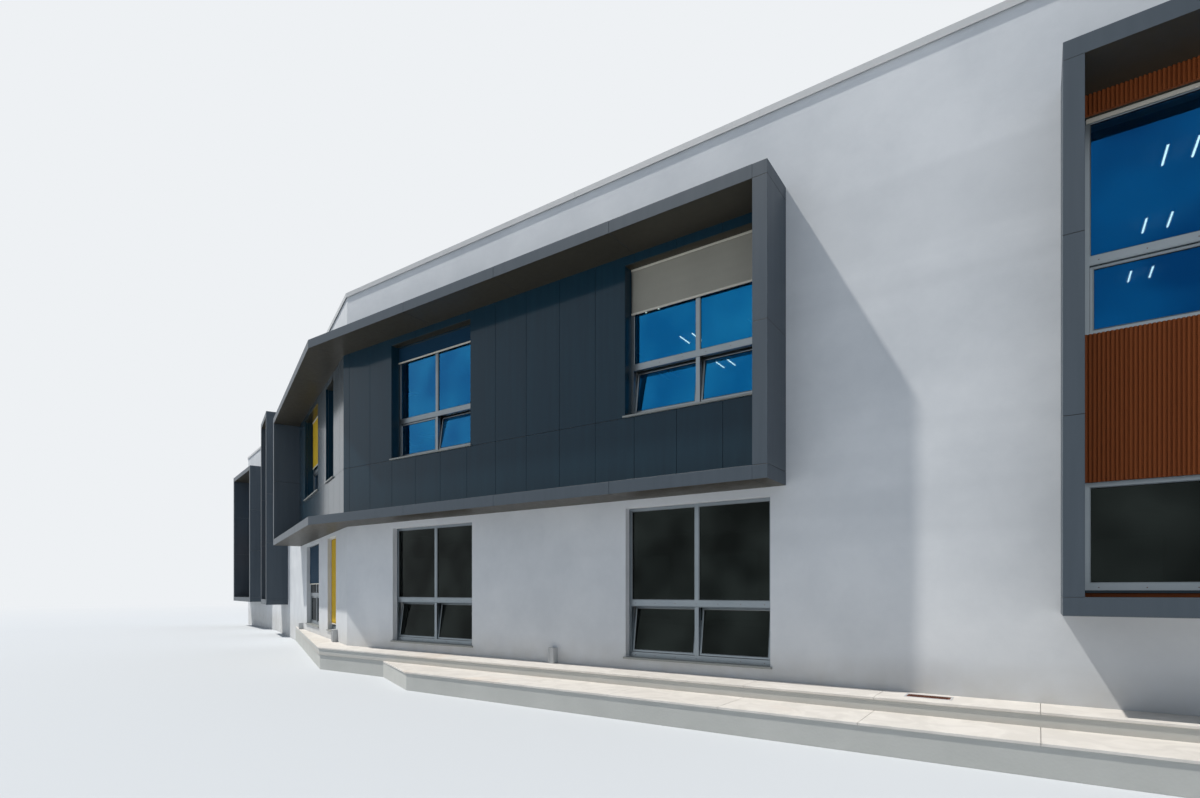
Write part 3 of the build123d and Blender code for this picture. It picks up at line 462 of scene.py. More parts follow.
def painted_aluminium(name, code):
    """Folded aluminium sheet with a stove-enamelled coat: smooth, pale and satin, a little chalky."""
    made, tree, shader, place = new_material(name, Roughness=0.46)
    chalk = add(tree, "TexNoise", {"Scale": per_metre(320), "Detail": 6.0}, {"Vector": place})
    tone = add(tree, "MapRange", {"To Min": 0.90, "To Max": 1.06}, {"Value": chalk})
    base = add(tree, "Mix", {"data_type": "RGBA", "blend_type": "MULTIPLY", 0: 1.0, FIRST: colour(code)},
               {SECOND: tone})
    link(base, shader, "Base Color")
    dull = add(tree, "MapRange", {"To Min": 0.38, "To Max": 0.56}, {"Value": chalk})
    link(dull, shader, "Roughness")
    return made


def coated_glass(name, deep, bright):
    """Float glass with a hard solar coat, which mirrors more than bare glass does. The upper storey's
    panes mirror blue and the lower storey's a dark grey green, both in patches of painted reflection."""
    made, tree, shader, place = new_material(name, Roughness=0.015, IOR=3.2, Transmission_Weight=1.0)
    height = add(tree, "SeparateXYZ", {}, {"Vector": place})
    storey = add(tree, "MapRange", {"From Min": GLASS_CHANGE_LOW, "From Max": GLASS_CHANGE_HIGH},
                 {"Value": height.outputs["Z"]})
    base = add(tree, "Mix", {"data_type": "RGBA", FIRST: colour("#2E3534"), SECOND: colour("#7FA6C4")},
               {0: storey})
    link(base, shader, "Base Color")
    # Painted reflection: patches about a metre across make what the panes mirror lighter or darker
    painted_reflection_noise = add(tree, "TexNoise", {"Scale": per_metre(1100), "Detail": 2.0}, {"Vector": place})
    painted_reflection_mask = add(tree, "MapRange", {"From Min": 0.38, "From Max": 0.62}, {"Value": painted_reflection_noise})
    blue = add(tree, "Mix", {"data_type": "RGBA", FIRST: colour(deep), SECOND: colour(bright)}, {0: painted_reflection_mask})
    grey = add(tree, "Mix", {"data_type": "RGBA", FIRST: colour("#2E3331"), SECOND: colour("#4B5350")},
               {0: painted_reflection_mask})
    coat = add(tree, "Mix", {"data_type": "RGBA"}, {0: storey, FIRST: grey, SECOND: blue})
    link(coat, shader, "Specular Tint")
    # Toughened panes are out of flat by a fraction of a millimetre in waves of about 300 mm
    roll = add(tree, "TexNoise", {"Scale": per_metre(300), "Detail": 0.0}, {"Vector": place})
    bump = add(tree, "Bump", {"Strength": 0.05, "Distance": 0.003}, {"Height": roll})
    link(bump, shader, "Normal")
    return made


def screen_fabric(name, dark, light):
    """Woven screen cloth of coated glass yarn: a dull plain weave, a little paler in patches."""
    made, tree, shader, place = new_material(name, Roughness=0.85, Specular_IOR_Level=0.25)
    # The yarns are 0.5 mm apart and are drawn at 6 mm so that they show
    yarn, hollow = 0.006, 0.0012
    turn = add(tree, "Mapping", {"Rotation": (radians(90), 0.0, 0.0)}, {"Vector": place})
    weave = add(tree, "TexBrick", {"Scale": 1.0, "Brick Width": yarn, "Row Height": yarn,
                                   "Mortar Size": hollow, "Mortar": colour(dark),
                                   "Color1": colour(dark), "Color2": colour(light)}, {"Vector": turn})
    cloud = add(tree, "TexNoise", {"Scale": per_metre(500), "Detail": 3.0}, {"Vector": place})
    tone = add(tree, "MapRange", {"To Min": 0.88, "To Max": 1.05}, {"Value": cloud})
    base = add(tree, "Mix", {"data_type": "RGBA", "blend_type": "MULTIPLY", 0: 1.0},
               {FIRST: weave, SECOND: tone})
    link(base, shader, "Base Color")
    bump = add(tree, "Bump", {"Strength": 0.25, "Distance": 0.0005}, {"Height": weave.outputs["Fac"]})
    link(bump, shader, "Normal")
    return made


def rusted_iron():
    """Cast iron left bare: dark brown scale with raised patches of orange rust."""
    made, tree, shader, place = new_material("rusted_cast_iron", Roughness=0.85, Metallic=0.2)
    rust = add(tree, "TexNoise", {"Scale": per_metre(40), "Detail": 8.0, "Roughness": 0.7},
               {"Vector": place})
    base = add(tree, "Mix", {"data_type": "RGBA", FIRST: colour("#3A1F16"), SECOND: colour("#7A4026")},
               {0: rust})
    link(base, shader, "Base Color")
    bump = add(tree, "Bump", {"Strength": 0.6, "Distance": 0.001}, {"Height": rust})
    link(bump, shader, "Normal")
    return made


def extruded_rubber():
    """Extruded rubber gasket: black, dull, a little dusty."""
    made, tree, shader, place = new_material("extruded_rubber", Roughness=0.7)
    dust = add(tree, "TexNoise", {"Scale": per_metre(60), "Detail": 4.0}, {"Vector": place})
    base = add(tree, "Mix", {"data_type": "RGBA", FIRST: colour("#121314"), SECOND: colour("#26282A")},
               {0: dust})
    link(base, shader, "Base Color")
    return made


def opal_acrylic(name, glow):
    """Extruded opal acrylic: milky, satin, a little dusty. Lit from inside it glows an even warm white."""
    made, tree, shader, place = new_material(name, Roughness=0.4, Emission_Color=colour("#FFF8EC"),
                                             Emission_Strength=glow)
    dust = add(tree, "TexNoise", {"Scale": per_metre(80), "Detail": 4.0}, {"Vector": place})
    base = add(tree, "Mix", {"data_type": "RGBA", FIRST: colour("#E2E2DE"), SECOND: colour("#F4F4F0")},
               {0: dust})
    link(base, shader, "Base Color")
    return made


RENDER = mineral_render()
CONCRETE = cast_concrete()
FELT = bitumen_felt()
STONE = pale_limestone()
FRAME_STEEL = coated_steel("slate_powder_coated_steel", "#38434C", "#454F59", 0.44, 0.40, 0.0)
PANEL_STEEL = coated_steel("dark_slate_powder_coated_steel", "#112937", "#193644", 0.46, 0.04, 1.0)
COPING = painted_aluminium("enamelled_aluminium_coping", "#BFC1C2")
BOARDS = composite_boards()
ALUMINIUM = anodised_aluminium()
GLASS = coated_glass("coated_float_glass", "#0E8CD8", "#24ACF6")
DEEP_GLASS = coated_glass("deep_coated_float_glass", "#07589A", "#0F76BE")
SILL = painted_aluminium("enamelled_aluminium_sill", "#8C8F8C")
BLUE_CLOTH = screen_fabric("blue_screen_cloth", "#022D46", "#063952")
BEIGE_CLOTH = screen_fabric("beige_screen_cloth", "#99968B", "#A7A498")
YELLOW_CLOTH = screen_fabric("yellow_screen_cloth", "#C7A21C", "#D8B42A")
LAMP_PAINT = painted_aluminium("enamelled_lamp_case", "#B5B8BA")
PALE_BAR = painted_aluminium("enamelled_screen_bar", "#CFCABC")
IRON = rusted_iron()
OPAL = opal_acrylic("opal_acrylic", 0.0)
LIT_OPAL = opal_acrylic("lit_opal_acrylic", 3.0)
RUBBER = extruded_rubber()

NODE_MATERIALS = {
    "white_render": RENDER, "concrete": CONCRETE, "roof_membrane": FELT, "ledge_stone": STONE,
    "frame_metal": FRAME_STEEL, "panel_metal": PANEL_STEEL, "coping_metal": COPING, "ribbed_boards": BOARDS,
    "window_aluminium": ALUMINIUM, "window_glass": GLASS, "sill_metal": SILL, "blue_fabric": BLUE_CLOTH,
    "beige_fabric": BEIGE_CLOTH, "yellow_fabric": YELLOW_CLOTH, "lamp_metal": LAMP_PAINT,
    "grating_iron": IRON, "light_diffuser": OPAL,
}
SLOTS = {part["node"]: part["material_slot"] for part in frame["record"]["subparts"]}
DEEP_PANES = "tall_frame_window_panes"
for name, node in frame["nodes"].items():
    for material_slot in node.material_slots:
        material_slot.material = DEEP_GLASS if name == DEEP_PANES else NODE_MATERIALS[SLOTS[name]]


# Edges rounded as they are where sheet metal is folded, stone is cut and render is floated
FOLDED_EDGE, CUT_EDGE, FLOATED_EDGE = 0.003, 0.004, 0.006
EDGES = [
    (FOLDED_EDGE, ("box_frame_top", "box_frame_bottom", "box_frame_fins", "right_tall_frame",
                   "narrow_tall_frame", "left_tall_frame", "dark_panels_long", "dark_panels_folded",
                   "reveal_linings")),
    (CUT_EDGE, ("upper_ledge", "lower_ledge")),
    (FOLDED_EDGE, ("ground_window_sills", "upper_window_sills", "tall_frame_window_sills",
                   "back_window_sills")),
    (FLOATED_EDGE, ("front_wall_long", "front_wall_folded", "front_wall_left")),
]
SAME_POINT = 1e-5
FLAT_ANGLE, EDGE_ANGLE = radians(1), radians(20)


def softened(node, radius):
    """Stand a copy with rounded edges in for a CAD node: its triangles merged, flat ones joined, then a
    bevel of two segments."""
    form = bmesh.new()
    form.from_mesh(frame["nodes"][node].data)
    bmesh.ops.remove_doubles(form, verts=form.verts, dist=SAME_POINT)
    bmesh.ops.dissolve_limit(form, angle_limit=FLAT_ANGLE, verts=form.verts, edges=form.edges)
    form.verts.index_update()
    points = np.array([vertex.co[:] for vertex in form.verts])
    faces = [[vertex.index for vertex in face.verts] for face in form.faces]
    form.free()
    slot = SLOTS[node]
    made = piece(f"{node}_soft", [(points, faces)], NODE_MATERIALS[slot], slot, node)
    bevel = made.modifiers.new("rounded_edges", "BEVEL")
    bevel.width = radius
    bevel.segments = 2
    bevel.limit_method = "ANGLE"
    bevel.angle_limit = EDGE_ANGLE
    bevel.harden_normals = True
    made.data.shade_smooth()


for radius, nodes in EDGES:
    for node in nodes:
        softened(node, radius)


# Coping of folded sheets round the parapet, in lengths with open joints over cover straps
COPING_LENGTH = 3.0
COPING_JOINT = 0.004
SHEET = 0.003
COPING_OUT, COPING_RISE, COPING_LIP, COPING_FALL = 0.030, 0.030, 0.070, 0.012
HEM, HEM_RISE = 0.010, 0.006
STRAP = 0.120


def coping_line(drop):
    """Line of the folded coping as (out, up): a hem, a lip, a top that falls to the roof, a lip and a
    hem inside. A cover strap's line lies inside the sheet's by the drop."""
    outer, inner = COPING_OUT - SHEET / 2 - drop, -WALL - COPING_OUT + SHEET / 2 + drop
    top = WALL_TOP + COPING_RISE - SHEET / 2 - drop
    bottom = WALL_TOP - COPING_LIP + drop
    return [(outer - HEM, bottom + HEM_RISE), (outer, bottom + SHEET), (outer, top),
            (inner, top - COPING_FALL), (inner, bottom + SHEET), (inner + HEM, bottom + HEM_RISE)]


def coping_section(step, distance, outline, gap):
    """The coping's outline at a distance along one side of the rim. At a corner it lies on the mitre."""
    near, far = rim_corner(step, 0.0), rim_corner(step + 1, 0.0)
    length = np.linalg.norm(far - near)
    direction = (far - near) / length
    outward = np.array([-direction[1], direction[0]])
    if distance <= 0:
        plan = np.array([rim_corner(step, -out) for out, _ in outline]) + direction * gap
    elif distance >= length:
        plan = np.array([rim_corner(step + 1, -out) for out, _ in outline]) - direction * gap
    else:
        plan = near + direction * distance + outline[:, :1] * outward
    return np.column_stack([plan, outline[:, 1]])


sheets, straps = [], []
sheet_outline = folded_sheet(coping_line(0.0), SHEET)
strap_outline = folded_sheet(coping_line(SHEET), SHEET)
gap = COPING_JOINT / 2
for step in range(RIM_SIDES):
    length = np.linalg.norm(rim_corner(step + 1, 0.0) - rim_corner(step, 0.0))
    count = max(1, round(length / COPING_LENGTH))
    stations = np.linspace(0, length, count + 1)
    for near, far in zip(stations, stations[1:]):
        ends = (near if near == 0 else near + gap, far if far == length else far - gap)
        sheets.append(lofted(np.stack([coping_section(step, end, sheet_outline, gap) for end in ends])))
    for middle in stations[1:-1]:
        ends = (middle - STRAP / 2, middle + STRAP / 2)
        straps.append(lofted(np.stack([coping_section(step, end, strap_outline, 0) for end in ends])))
piece("coping_sheets", sheets, COPING, "coping_metal", "parapet_coping")
piece("coping_straps", straps, COPING, "coping_metal")


# Roof felt in lapped strips, turned up against the parapet
STRIP_WIDTH, LEAST_STRIP = 1.0, 0.2
STRIP_LAP = 0.1
SLOPE_OVER, SLOPE_UNDER = 0.04, 0.02
FELT_THICKNESS = 0.005
# The turned-up felt as (distance from the parapet, height above the roof)
UPSTAND = np.array([(0.0, 0.010), (0.0, 0.250), (0.008, 0.250), (0.010, 0.060), (0.060, 0.014),
                    (0.060, 0.010)])


def felt_strip(bay, start, end):
    """A strip of felt between two depths: its front edge lies on the strip before it, and its ends
    follow the lines where the straight lengths of the roof meet."""
    lapped, thick = start - STRIP_LAP, FELT_THICKNESS
    outline = np.array([(lapped, thick), (lapped, 2 * thick), (start, 2 * thick),
                        (start + SLOPE_OVER, thick), (end, thick), (end, 0), (start, 0),
                        (start - SLOPE_UNDER, thick)])
    outline[:, 0] = np.maximum(outline[:, 0], WALL)
    sections = []
    for index, side in ((bay, 1), (bay + 1, -1)):
        plan = np.array([plan_corner(index, depth) for depth in outline[:, 0]])
        if index in (0, LAST_CORNER):
            plan = plan + LEFTWARD[bay] * side * WALL
        sections.append(np.column_stack([plan, ROOF_TOP + outline[:, 1]]))
    return lofted(np.stack(sections))


back_edge = BUILDING_DEPTH - WALL
depths = np.arange(WALL, back_edge - LEAST_STRIP, STRIP_WIDTH)
strips = [felt_strip(bay, start, min(start + STRIP_WIDTH, back_edge))
          for bay in range(LAST_CORNER) for start in depths]
piece("roof_felt", strips, FELT, "roof_membrane")
turned_up = np.stack([
    np.column_stack([[rim_corner(step, WALL + inset) for inset in UPSTAND[:, 0]], ROOF_TOP + UPSTAND[:, 1]])
    for step in range(RIM_SIDES)])
piece("roof_felt_upstand", [lofted(turned_up, looped=True)], FELT, "roof_membrane")


# Ribbed boards inside the tall frames
RIB_PITCH, RIB_FACE, RIB_DEPTH, RIB_ARRIS, BOARD_BACK = 0.037, 0.025, 0.018, 0.002, 0.022


def ribbed_strip(face, left, right, bottom, top):
    """Boards seen in plan: one rib's five turns, repeated at the pitch, carried up from bottom to top."""
    count = int((right - left) / RIB_PITCH)
    start = (left + right - count * RIB_PITCH) / 2
    near, arris = (RIB_PITCH - RIB_FACE) / 2, RIB_ARRIS
    far = RIB_PITCH - near
    rib = np.array([(near, 0.0), (near + arris, RIB_DEPTH - arris), (near + 2 * arris, RIB_DEPTH),
                    (far - 2 * arris, RIB_DEPTH), (far - arris, RIB_DEPTH - arris), (far, 0.0)])
    repeat = start + RIB_PITCH * np.arange(count)
    along = (repeat[:, None] + rib[:, 0]).ravel()
    out = np.tile(BOARD_BACK + rib[:, 1], count)
    outline = np.column_stack([np.concatenate([[left], along, [right, right, left]]),
                               np.concatenate([[BOARD_BACK], out, [BOARD_BACK, 0.0, 0.0]])])
    return upright_run(face, outline, bottom, top)


CLADDING_LAP = 0.030
SHEET_JOINT = 0.004
LEAST_RIBBED = 0.095
PLAIN_STRIP = 0.018
boards = []
for face, left, right, bottom, top, mullion in TALL_FRAMES:
    lower, upper = tall_windows(left, right, mullion)
    left, right = left + TALL_FIN + SHEET_JOINT, right - TALL_FIN - SHEET_JOINT
    for low, high in ((bottom + BEAM, lower.sill - SILL_THICKNESS), (lower.head, upper.sill + CLADDING_LAP),
                      (upper.head, top - BEAM)):
        if high - low > LEAST_RIBBED:
            boards.append(ribbed_strip(face, left, right, low, high))
        else:
            strip = [(low, 0.0), (low, PLAIN_STRIP), (high, PLAIN_STRIP), (high, 0.0)]
            boards.append(level_run(face, strip, left, right))
piece("ribbed_boards", boards, BOARDS, "ribbed_boards", "ribbed_cladding")


# Glazing beads, gaskets, screws and drip caps of the front windows
BEAD_BACK = 0.024
# Outlines as (inset from the glazed field's edge, out from the frame's or the sash's front)
BEAD = [(0.0, -BEAD_BACK), (0.0, -0.008), (0.003, -0.006), (0.008, -0.009), (0.008, -BEAD_BACK)]
GASKET = [(0.007, -BEAD_BACK), (0.008, -0.014), (0.011, -0.015), (0.013, -BEAD_BACK)]
SEAL = [(0.001, 0.0), (0.001, -0.006), (0.009, -0.006), (0.009, 0.0)]
# A drip cap as (height above the opening sash, out from the frame's front)
DRIP_CAP = [(0.0, 0.0), (0.0, 0.007), (0.004, 0.008), (0.010, 0.0)]
SCREW_PITCH, SCREW_END, SCREW_RISE = 0.36, 0.12, 0.03
SCREW_RADIUS, SCREW_SIDES = 0.006, 8


def moved(outline, across, out):
    """An outline moved along its first direction and out of the face."""
    return np.array(outline) + [across, out]


def screw_head(face, along, up, out):
    """A low dome: three circles round the screw's axis, each smaller and further out, closed by a flat."""
    turn = np.linspace(0, 2 * np.pi, SCREW_SIDES, endpoint=False)
    size = SCREW_RADIUS * np.array([1.0, 0.85, 0.4])[:, None]
    rise = SCREW_RADIUS * np.array([0.0, 0.35, 0.55])[:, None]
    return lofted(on_face(face, along + size * np.cos(turn), up + size * np.sin(turn), out + rise))


beads, gaskets, screws, caps = [], [], [], []
for face, opening, setback, tilts in WINDOWS:
    lean = iter(tilts)
    for field, opens in fields(opening):
        if not opens:
            beads.append(ring(face, field, moved(BEAD, 0, -setback)))
            gaskets.append(ring(face, field, moved(GASKET, 0, -setback)))
            continue
        left, right, bottom, top = field
        sash = sash_face(face, field, setback, next(lean))
        half, height = (right - left) / 2 - SASH_CLEARANCE, top - bottom - SASH_CLEARANCE
        glass_front = (SASH_DEPTH + PANE) / 2
        edge = (-half, half, 0.0, height)
        beads.append(ring(sash, edge, moved(BEAD, SASH_WIDTH, glass_front + BEAD_BACK)))
        gaskets.append(ring(sash, edge, moved(GASKET, SASH_WIDTH, glass_front + BEAD_BACK)))
        # A rubber seal stands round the sash, inside the frame's rebate
        gaskets.append(ring(sash, edge, SEAL))
    screwed = [opening.sill + SCREW_RISE]
    if opening.rail is not None:
        screwed.insert(0, opening.rail)
        cap = moved(DRIP_CAP, opening.rail - RAIL / 2, -setback)
        caps.append(level_run(face, cap, opening.left + FRAME_WIDTH, opening.right - FRAME_WIDTH))
    count = round((opening.right - opening.left) / SCREW_PITCH)
    for up in screwed:
        for along in np.linspace(opening.left + SCREW_END, opening.right - SCREW_END, count):
            screws.append(screw_head(face, along, up, -setback))
piece("window_glazing_beads", beads, ALUMINIUM, "window_aluminium")
piece("window_gaskets", gaskets, RUBBER, "window_aluminium")
piece("window_drip_caps", caps, ALUMINIUM, "window_aluminium")
piece("window_screws", screws, IRON, "window_aluminium")


# Roller screens: woven cloth between a head rail and a bottom bar
SCREEN_SIDE, SCREEN_OUT = 0.012, 0.016
HEAD_RAIL, RAIL_HALF = 0.030, 0.013
BOTTOM_BAR, BAR_HALF = 0.030, 0.010
CLOTH_TUCK, CLOTH_THICKNESS = 0.004, 0.0008
CLOTH_BOW, CLOTH_WAVE, CLOTH_RIPPLE = 0.003, 0.0010, 0.0006
RAISED_TOP, RAISED_BOTTOM, RAISED_HALF = 0.003, 0.045, 0.012


def hung_cloth(face, left, right, bottom, top, out, columns=48, rows=36):
    """One sheet of cloth on a grid of two parameters: across from 0 to 1 and down from 0 to 1. It bows out
    by the bow times the sine of half a turn across and half a turn down. To that it adds a wave of two
    and a half turns across, which grows towards the bottom, and a ripple of four and a half turns down."""
    across, down = np.meshgrid(np.linspace(0, 1, columns + 1), np.linspace(0, 1, rows + 1))
    bow = CLOTH_BOW * np.sin(np.pi * across) * np.sin(np.pi * down)
    wave = CLOTH_WAVE * down * np.sin(5 * np.pi * across + 1.3)
    ripple = CLOTH_RIPPLE * np.sin(9 * np.pi * down + 0.6)
    points = on_face(face, left + (right - left) * across, top - (top - bottom) * down,
                     out + bow + (wave + ripple))
    index = np.arange(points.shape[0] * points.shape[1]).reshape(points.shape[:2])
    quads = np.stack([index[:-1, :-1], index[1:, :-1], index[1:, 1:], index[:-1, 1:]], axis=-1)
    return points.reshape(-1, 3), quads.reshape(-1, 4).tolist()


def rounded_bar(low, high, middle, half, corner=0.003):
    """Outline of a bar as (up, out), with its four corners cut off."""
    near, far = middle - half, middle + half
    return [(low + corner, near), (low, near + corner), (low, far - corner), (low + corner, far),
            (high - corner, far), (high, far - corner), (high, near + corner), (high - corner, near)]


BLUE = (BLUE_CLOTH, "blue_fabric", "blue_screens", PANEL_STEEL)
BEIGE = (BEIGE_CLOTH, "beige_fabric", "beige_screen", PALE_BAR)
YELLOW = (YELLOW_CLOTH, "yellow_fabric", "yellow_screens", PALE_BAR)
# Each screen by its name, its face, its window, the level of its lower edge and its make
SCREENS = [
    ("blue_upper", LONG, LONG_WINDOWS[2], 6.515, BLUE),
    ("blue_lower", FOLDED, FOLDED_WINDOWS[1], 1.890, BLUE),
    ("beige", LONG, LONG_WINDOWS[3], 6.130, BEIGE),
    ("yellow_upper", FOLDED, FOLDED_WINDOWS[3], 5.430, YELLOW),
    ("yellow_lower", FOLDED, FOLDED_WINDOWS[0], 0.850, YELLOW),
]
for name, face, (opening, setback, _), bottom, (cloth, slot, node, rail_finish) in SCREENS:
    left, right = opening.left + SCREEN_SIDE, opening.right - SCREEN_SIDE
    out = SCREEN_OUT - setback
    head_rail = rounded_bar(opening.head - HEAD_RAIL, opening.head, out, RAIL_HALF)
    bottom_bar = rounded_bar(bottom, bottom + BOTTOM_BAR, out, BAR_HALF)
    rail = piece(f"{name}_head_rail", [level_run(face, head_rail, left, right)], rail_finish,
                 "window_aluminium")
    bar = piece(f"{name}_bottom_bar", [level_run(face, bottom_bar, left, right)], PALE_BAR, slot)
    low, high = bottom + BOTTOM_BAR - CLOTH_TUCK, opening.head - HEAD_RAIL + CLOTH_TUCK
    hung = hung_cloth(face, left, right, low, high, out)
    sheet = piece(f"{name}_screen_cloth", [hung], cloth, slot, node)
    sheet.data.shade_smooth()
    thick = sheet.modifiers.new("cloth_thickness", "SOLIDIFY")
    thick.thickness = CLOTH_THICKNESS
    thick.offset = 0.0

# Raised screens in the right tall frame show only their rail
face, left, right, _, _, mullion = TALL_FRAMES[0]
upper = tall_windows(left, right, mullion)[1]
raised = rounded_bar(upper.head - RAISED_BOTTOM, upper.head - RAISED_TOP, SCREEN_OUT - TALL_SETBACK,
                     RAISED_HALF)
rails = [level_run(face, raised, start + SCREEN_SIDE, end - SCREEN_SIDE)
         for start, end in ((upper.left, mullion), (mullion, upper.right))]
piece("raised_screen_rails", rails, PALE_BAR, "window_aluminium")


# Strip lights in pairs, square to the front: each a folded tray with a slim opal lens. Upstairs
# behind the long front some of them are lit
LIGHT_LENGTH, LIGHT_HALF, LIGHT_SPACING = 0.48, 0.023, 1.55
PAIR_SPACING = 0.29
LENS_END = 0.01
LIGHT_COUNTS, LIGHT_ROWS = (9, 7, 1), (2.2, 4.1, 6.0, 9.8)
LIT_COLUMNS = (0, 1, 2, 4, 6, 8)
# Outlines as (depth below the ceiling, across)
TRAY = [(0.0, -LIGHT_HALF), (0.012, -LIGHT_HALF), (0.030, 0.004 - LIGHT_HALF),
        (0.030, LIGHT_HALF - 0.004), (0.012, LIGHT_HALF), (0.0, LIGHT_HALF)]
LENS = [(0.030, -0.010), (0.038, -0.009), (0.042, -0.005), (0.042, 0.005), (0.038, 0.009), (0.030, 0.010)]


def strip_light(bay, along, depth, ceiling, outline, end):
    """One outline of a strip light, carried to an end at each side of the light's middle."""
    middle = (plan_corner(bay, 0.0) + plan_corner(bay + 1, 0.0)) / 2
    place = middle + LEFTWARD[bay] * along + INWARD[bay] * depth
    inward = np.array([*INWARD[bay], 0.0])
    light = Face(np.array([*place, ceiling]), inward, -UP, np.cross(inward, -UP))
    return level_run(light, outline, -end, end)


trays, lit, unlit = [], [], []
for bay, count in enumerate(LIGHT_COUNTS):
    for ceiling in (FIRST_CEILING, TOP_CEILING):
        for turn in range(count):
            lenses = lit if bay == 0 and ceiling == TOP_CEILING and turn in LIT_COLUMNS else unlit
            for depth in LIGHT_ROWS:
                for side in (-PAIR_SPACING / 2, PAIR_SPACING / 2):
                    place = (bay, (turn - (count - 1) / 2) * LIGHT_SPACING + side, depth, ceiling)
                    trays.append(strip_light(*place, TRAY, LIGHT_LENGTH / 2))
                    lenses.append(strip_light(*place, LENS, LIGHT_LENGTH / 2 - LENS_END))
piece("strip_light_trays", trays, COPING, "light_diffuser", "ceiling_lights")
piece("lit_strip_light_lenses", lit, LIT_OPAL, "light_diffuser")
piece("unlit_strip_light_lenses", unlit, OPAL, "light_diffuser")


# Rim of angle steel round the grating in the upper ledge, just above the stone
GRATING = (11.500, 11.950, 0.150, 0.350)
ANGLE_RIM = [(-0.024, 0.0005), (-0.022, 0.003), (-0.001, 0.003), (0.0, 0.0005)]
ledge = Face(LONG.origin + UP * LEDGE_TOP, LONG.right, LONG.out, UP)
piece("grating_rim", [ring(ledge, GRATING, ANGLE_RIM)], LAMP_PAINT, "lamp_metal")


# Lamp boxes at the wall foot: a case with rounded edges and a front sunk inside its rim. Each box by
# its face, its left side, its width and its height
LAMP_BOXES = [(LONG, 5.900, 0.120, 0.270), (FOLDED, -1.310, 0.170, 0.300), (FOLDED, -7.150, 0.130, 0.200)]
LAMP_DEPTH, LAMP_CORNER = 0.120, 0.006
# Each outline of the case as (inset, out from the wall)
LAMP_STATIONS = np.array([(0.0, 0.0), (0.0, 0.112), (0.003, 0.119), (0.006, LAMP_DEPTH), (0.018, LAMP_DEPTH),
                          (0.020, 0.110), (0.022, 0.108)])


def lamp_case(face, left, width, height):
    """A case through eight-cornered outlines, each at its own inset and distance out: the wall side, the
    front's rounded edge, the rim, and the face that lies sunk inside it."""
    inset, out = LAMP_STATIONS[:, :1], LAMP_STATIONS[:, 1:]
    near, far = left + inset, left + width - inset
    low, high = LEDGE_TOP + inset, LEDGE_TOP + height - inset
    cut = LAMP_CORNER
    along = np.concatenate([near, near, near + cut, far - cut, far, far, far - cut, near + cut], axis=1)
    up = np.concatenate([low + cut, high - cut, high, high, high - cut, low + cut, low, low], axis=1)
    return lofted(on_face(face, along, up, out))


lamp_cases = [lamp_case(*box) for box in LAMP_BOXES]
piece("lamp_cases", lamp_cases, LAMP_PAINT, "lamp_metal", "lamp_boxes")


# Stage, lights and camera
BACKDROP = "#EEF1F4"
FLOOR_SIZE, FLOOR_DROP = 200.0, 0.002
FADE_START, FADE_END = 24.0, 70.0


def floor_material():
    """A plain pale floor, which fades to the background's white far from the building."""
    made, tree, shader, place = new_material("pale_floor", Base_Color=colour("#C4C9CE"), Roughness=0.9)
    distance = add(tree, "VectorMath", {"operation": "LENGTH"}, {0: place})
    fade = add(tree, "MapRange", {"From Min": FADE_START, "From Max": FADE_END}, {"Value": distance})
    ray = add(tree, "LightPath", {})
    shown = add(tree, "Math", {"operation": "MULTIPLY"}, {0: fade, 1: ray.outputs["Is Camera Ray"]})
    white = add(tree, "Emission", {"Color": colour(BACKDROP), "Strength": 1.0})
    mixed = add(tree, "MixShader", {}, {0: shown, 1: shader, 2: white})
    link(mixed, tree.nodes["Material Output"], "Surface")
    return made


floor_mesh = bpy.data.meshes.new("floor")
floor_corners = [(x * FLOOR_SIZE / 2, y * FLOOR_SIZE / 2, -FLOOR_DROP)
                 for x, y in ((-1, -1), (1, -1), (1, 1), (-1, 1))]
floor_mesh.from_pydata(floor_corners, [], [(0, 1, 2, 3)])
floor = bpy.data.objects.new("floor", floor_mesh)
bpy.context.scene.collection.objects.link(floor)
floor.data.materials.append(floor_material())

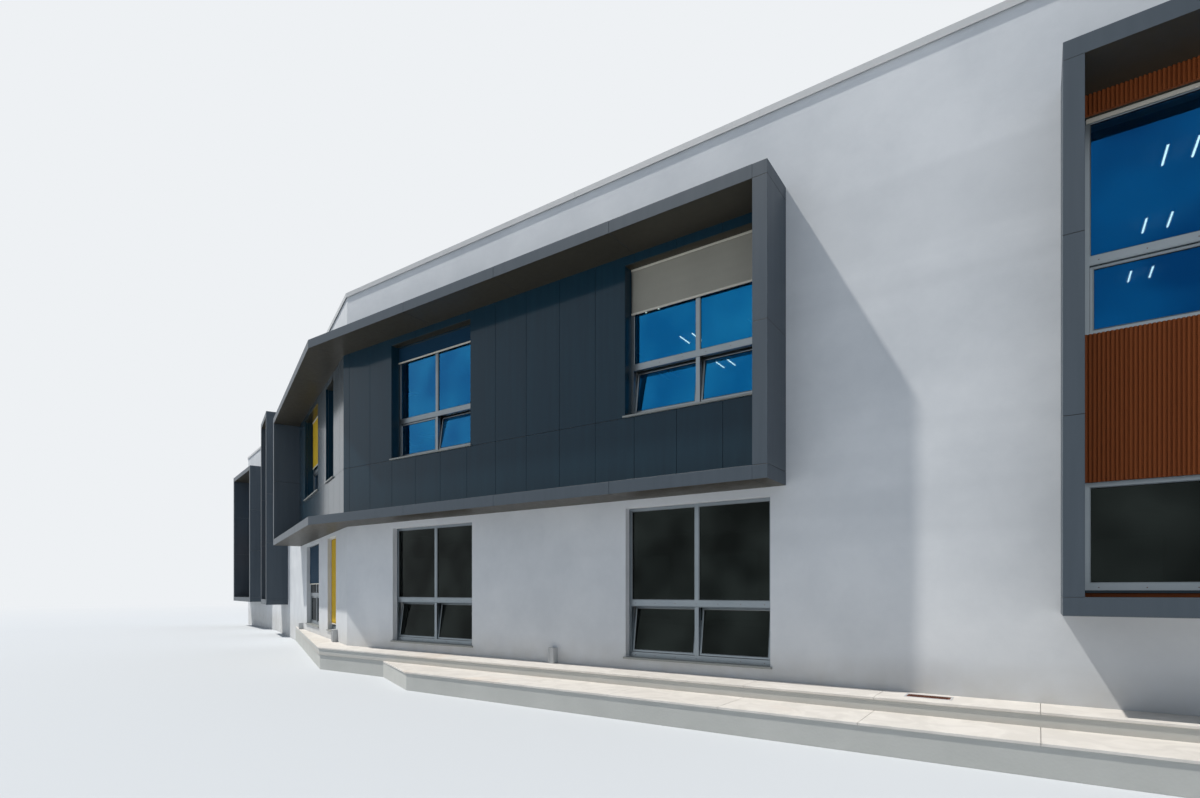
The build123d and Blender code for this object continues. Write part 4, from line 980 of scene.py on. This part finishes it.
SKY_COLOUR, SKY_STRENGTH = "#D6E4F6", 0.45
world = bpy.data.worlds.new("studio")
world.use_nodes = True
bpy.context.scene.world = world
tree = world.node_tree
tree.nodes.clear()
ray = add(tree, "LightPath", {})
seen = add(tree, "Math", {"operation": "MAXIMUM"},
           {0: ray.outputs["Is Camera Ray"], 1: ray.outputs["Is Glossy Ray"]})
seen_through = add(tree, "Math", {"operation": "MAXIMUM"}, {0: seen, 1: ray.outputs["Is Transmission Ray"]})
light = add(tree, "Background", {"Color": colour(SKY_COLOUR), "Strength": SKY_STRENGTH})
shown = add(tree, "Background", {"Color": colour(BACKDROP), "Strength": 1.0})
mixed = add(tree, "MixShader", {}, {0: seen_through, 1: light, 2: shown})
add(tree, "OutputWorld", {}, {"Surface": mixed})

SUN_TRAVEL = (0.45, 0.20, -0.87)
SUN_STRENGTH, SUN_SPREAD, SUN_COLOUR = 3.7, radians(1.4), "#FFFAF3"
sun_data = bpy.data.lights.new("key", "SUN")
sun_data.energy = SUN_STRENGTH
sun_data.angle = SUN_SPREAD
sun_data.color = colour(SUN_COLOUR)[:3]
sun = bpy.data.objects.new("key", sun_data)
sun.rotation_mode = "QUATERNION"
sun.rotation_quaternion = Vector(SUN_TRAVEL).to_track_quat("-Z", "Y")
bpy.context.scene.collection.objects.link(sun)

# The camera's place from the fold, its turn to the left, and its lens in mm on a 36 mm sensor
EYE_RIGHT, EYE_OUT, EYE_HEIGHT, EYE_TURN = 12.778, 8.532, 1.73, radians(34.58)
SENSOR_WIDTH, FOCAL_LENGTH, LENS_SHIFT = 36.0, 19.07, 0.159
camera_data = bpy.data.cameras.new("camera")
camera_data.sensor_width = SENSOR_WIDTH
camera_data.lens = FOCAL_LENGTH
camera_data.shift_y = LENS_SHIFT
camera_data.clip_end = 500.0
camera = bpy.data.objects.new("camera", camera_data)
camera.location = (FOLD[0] + EYE_RIGHT, FOLD[1] - EYE_OUT, EYE_HEIGHT)
camera.rotation_euler = (radians(90), 0.0, EYE_TURN)
bpy.context.scene.collection.objects.link(camera)
bpy.context.scene.camera = camera
bpy.context.scene.view_settings.view_transform = "Standard"
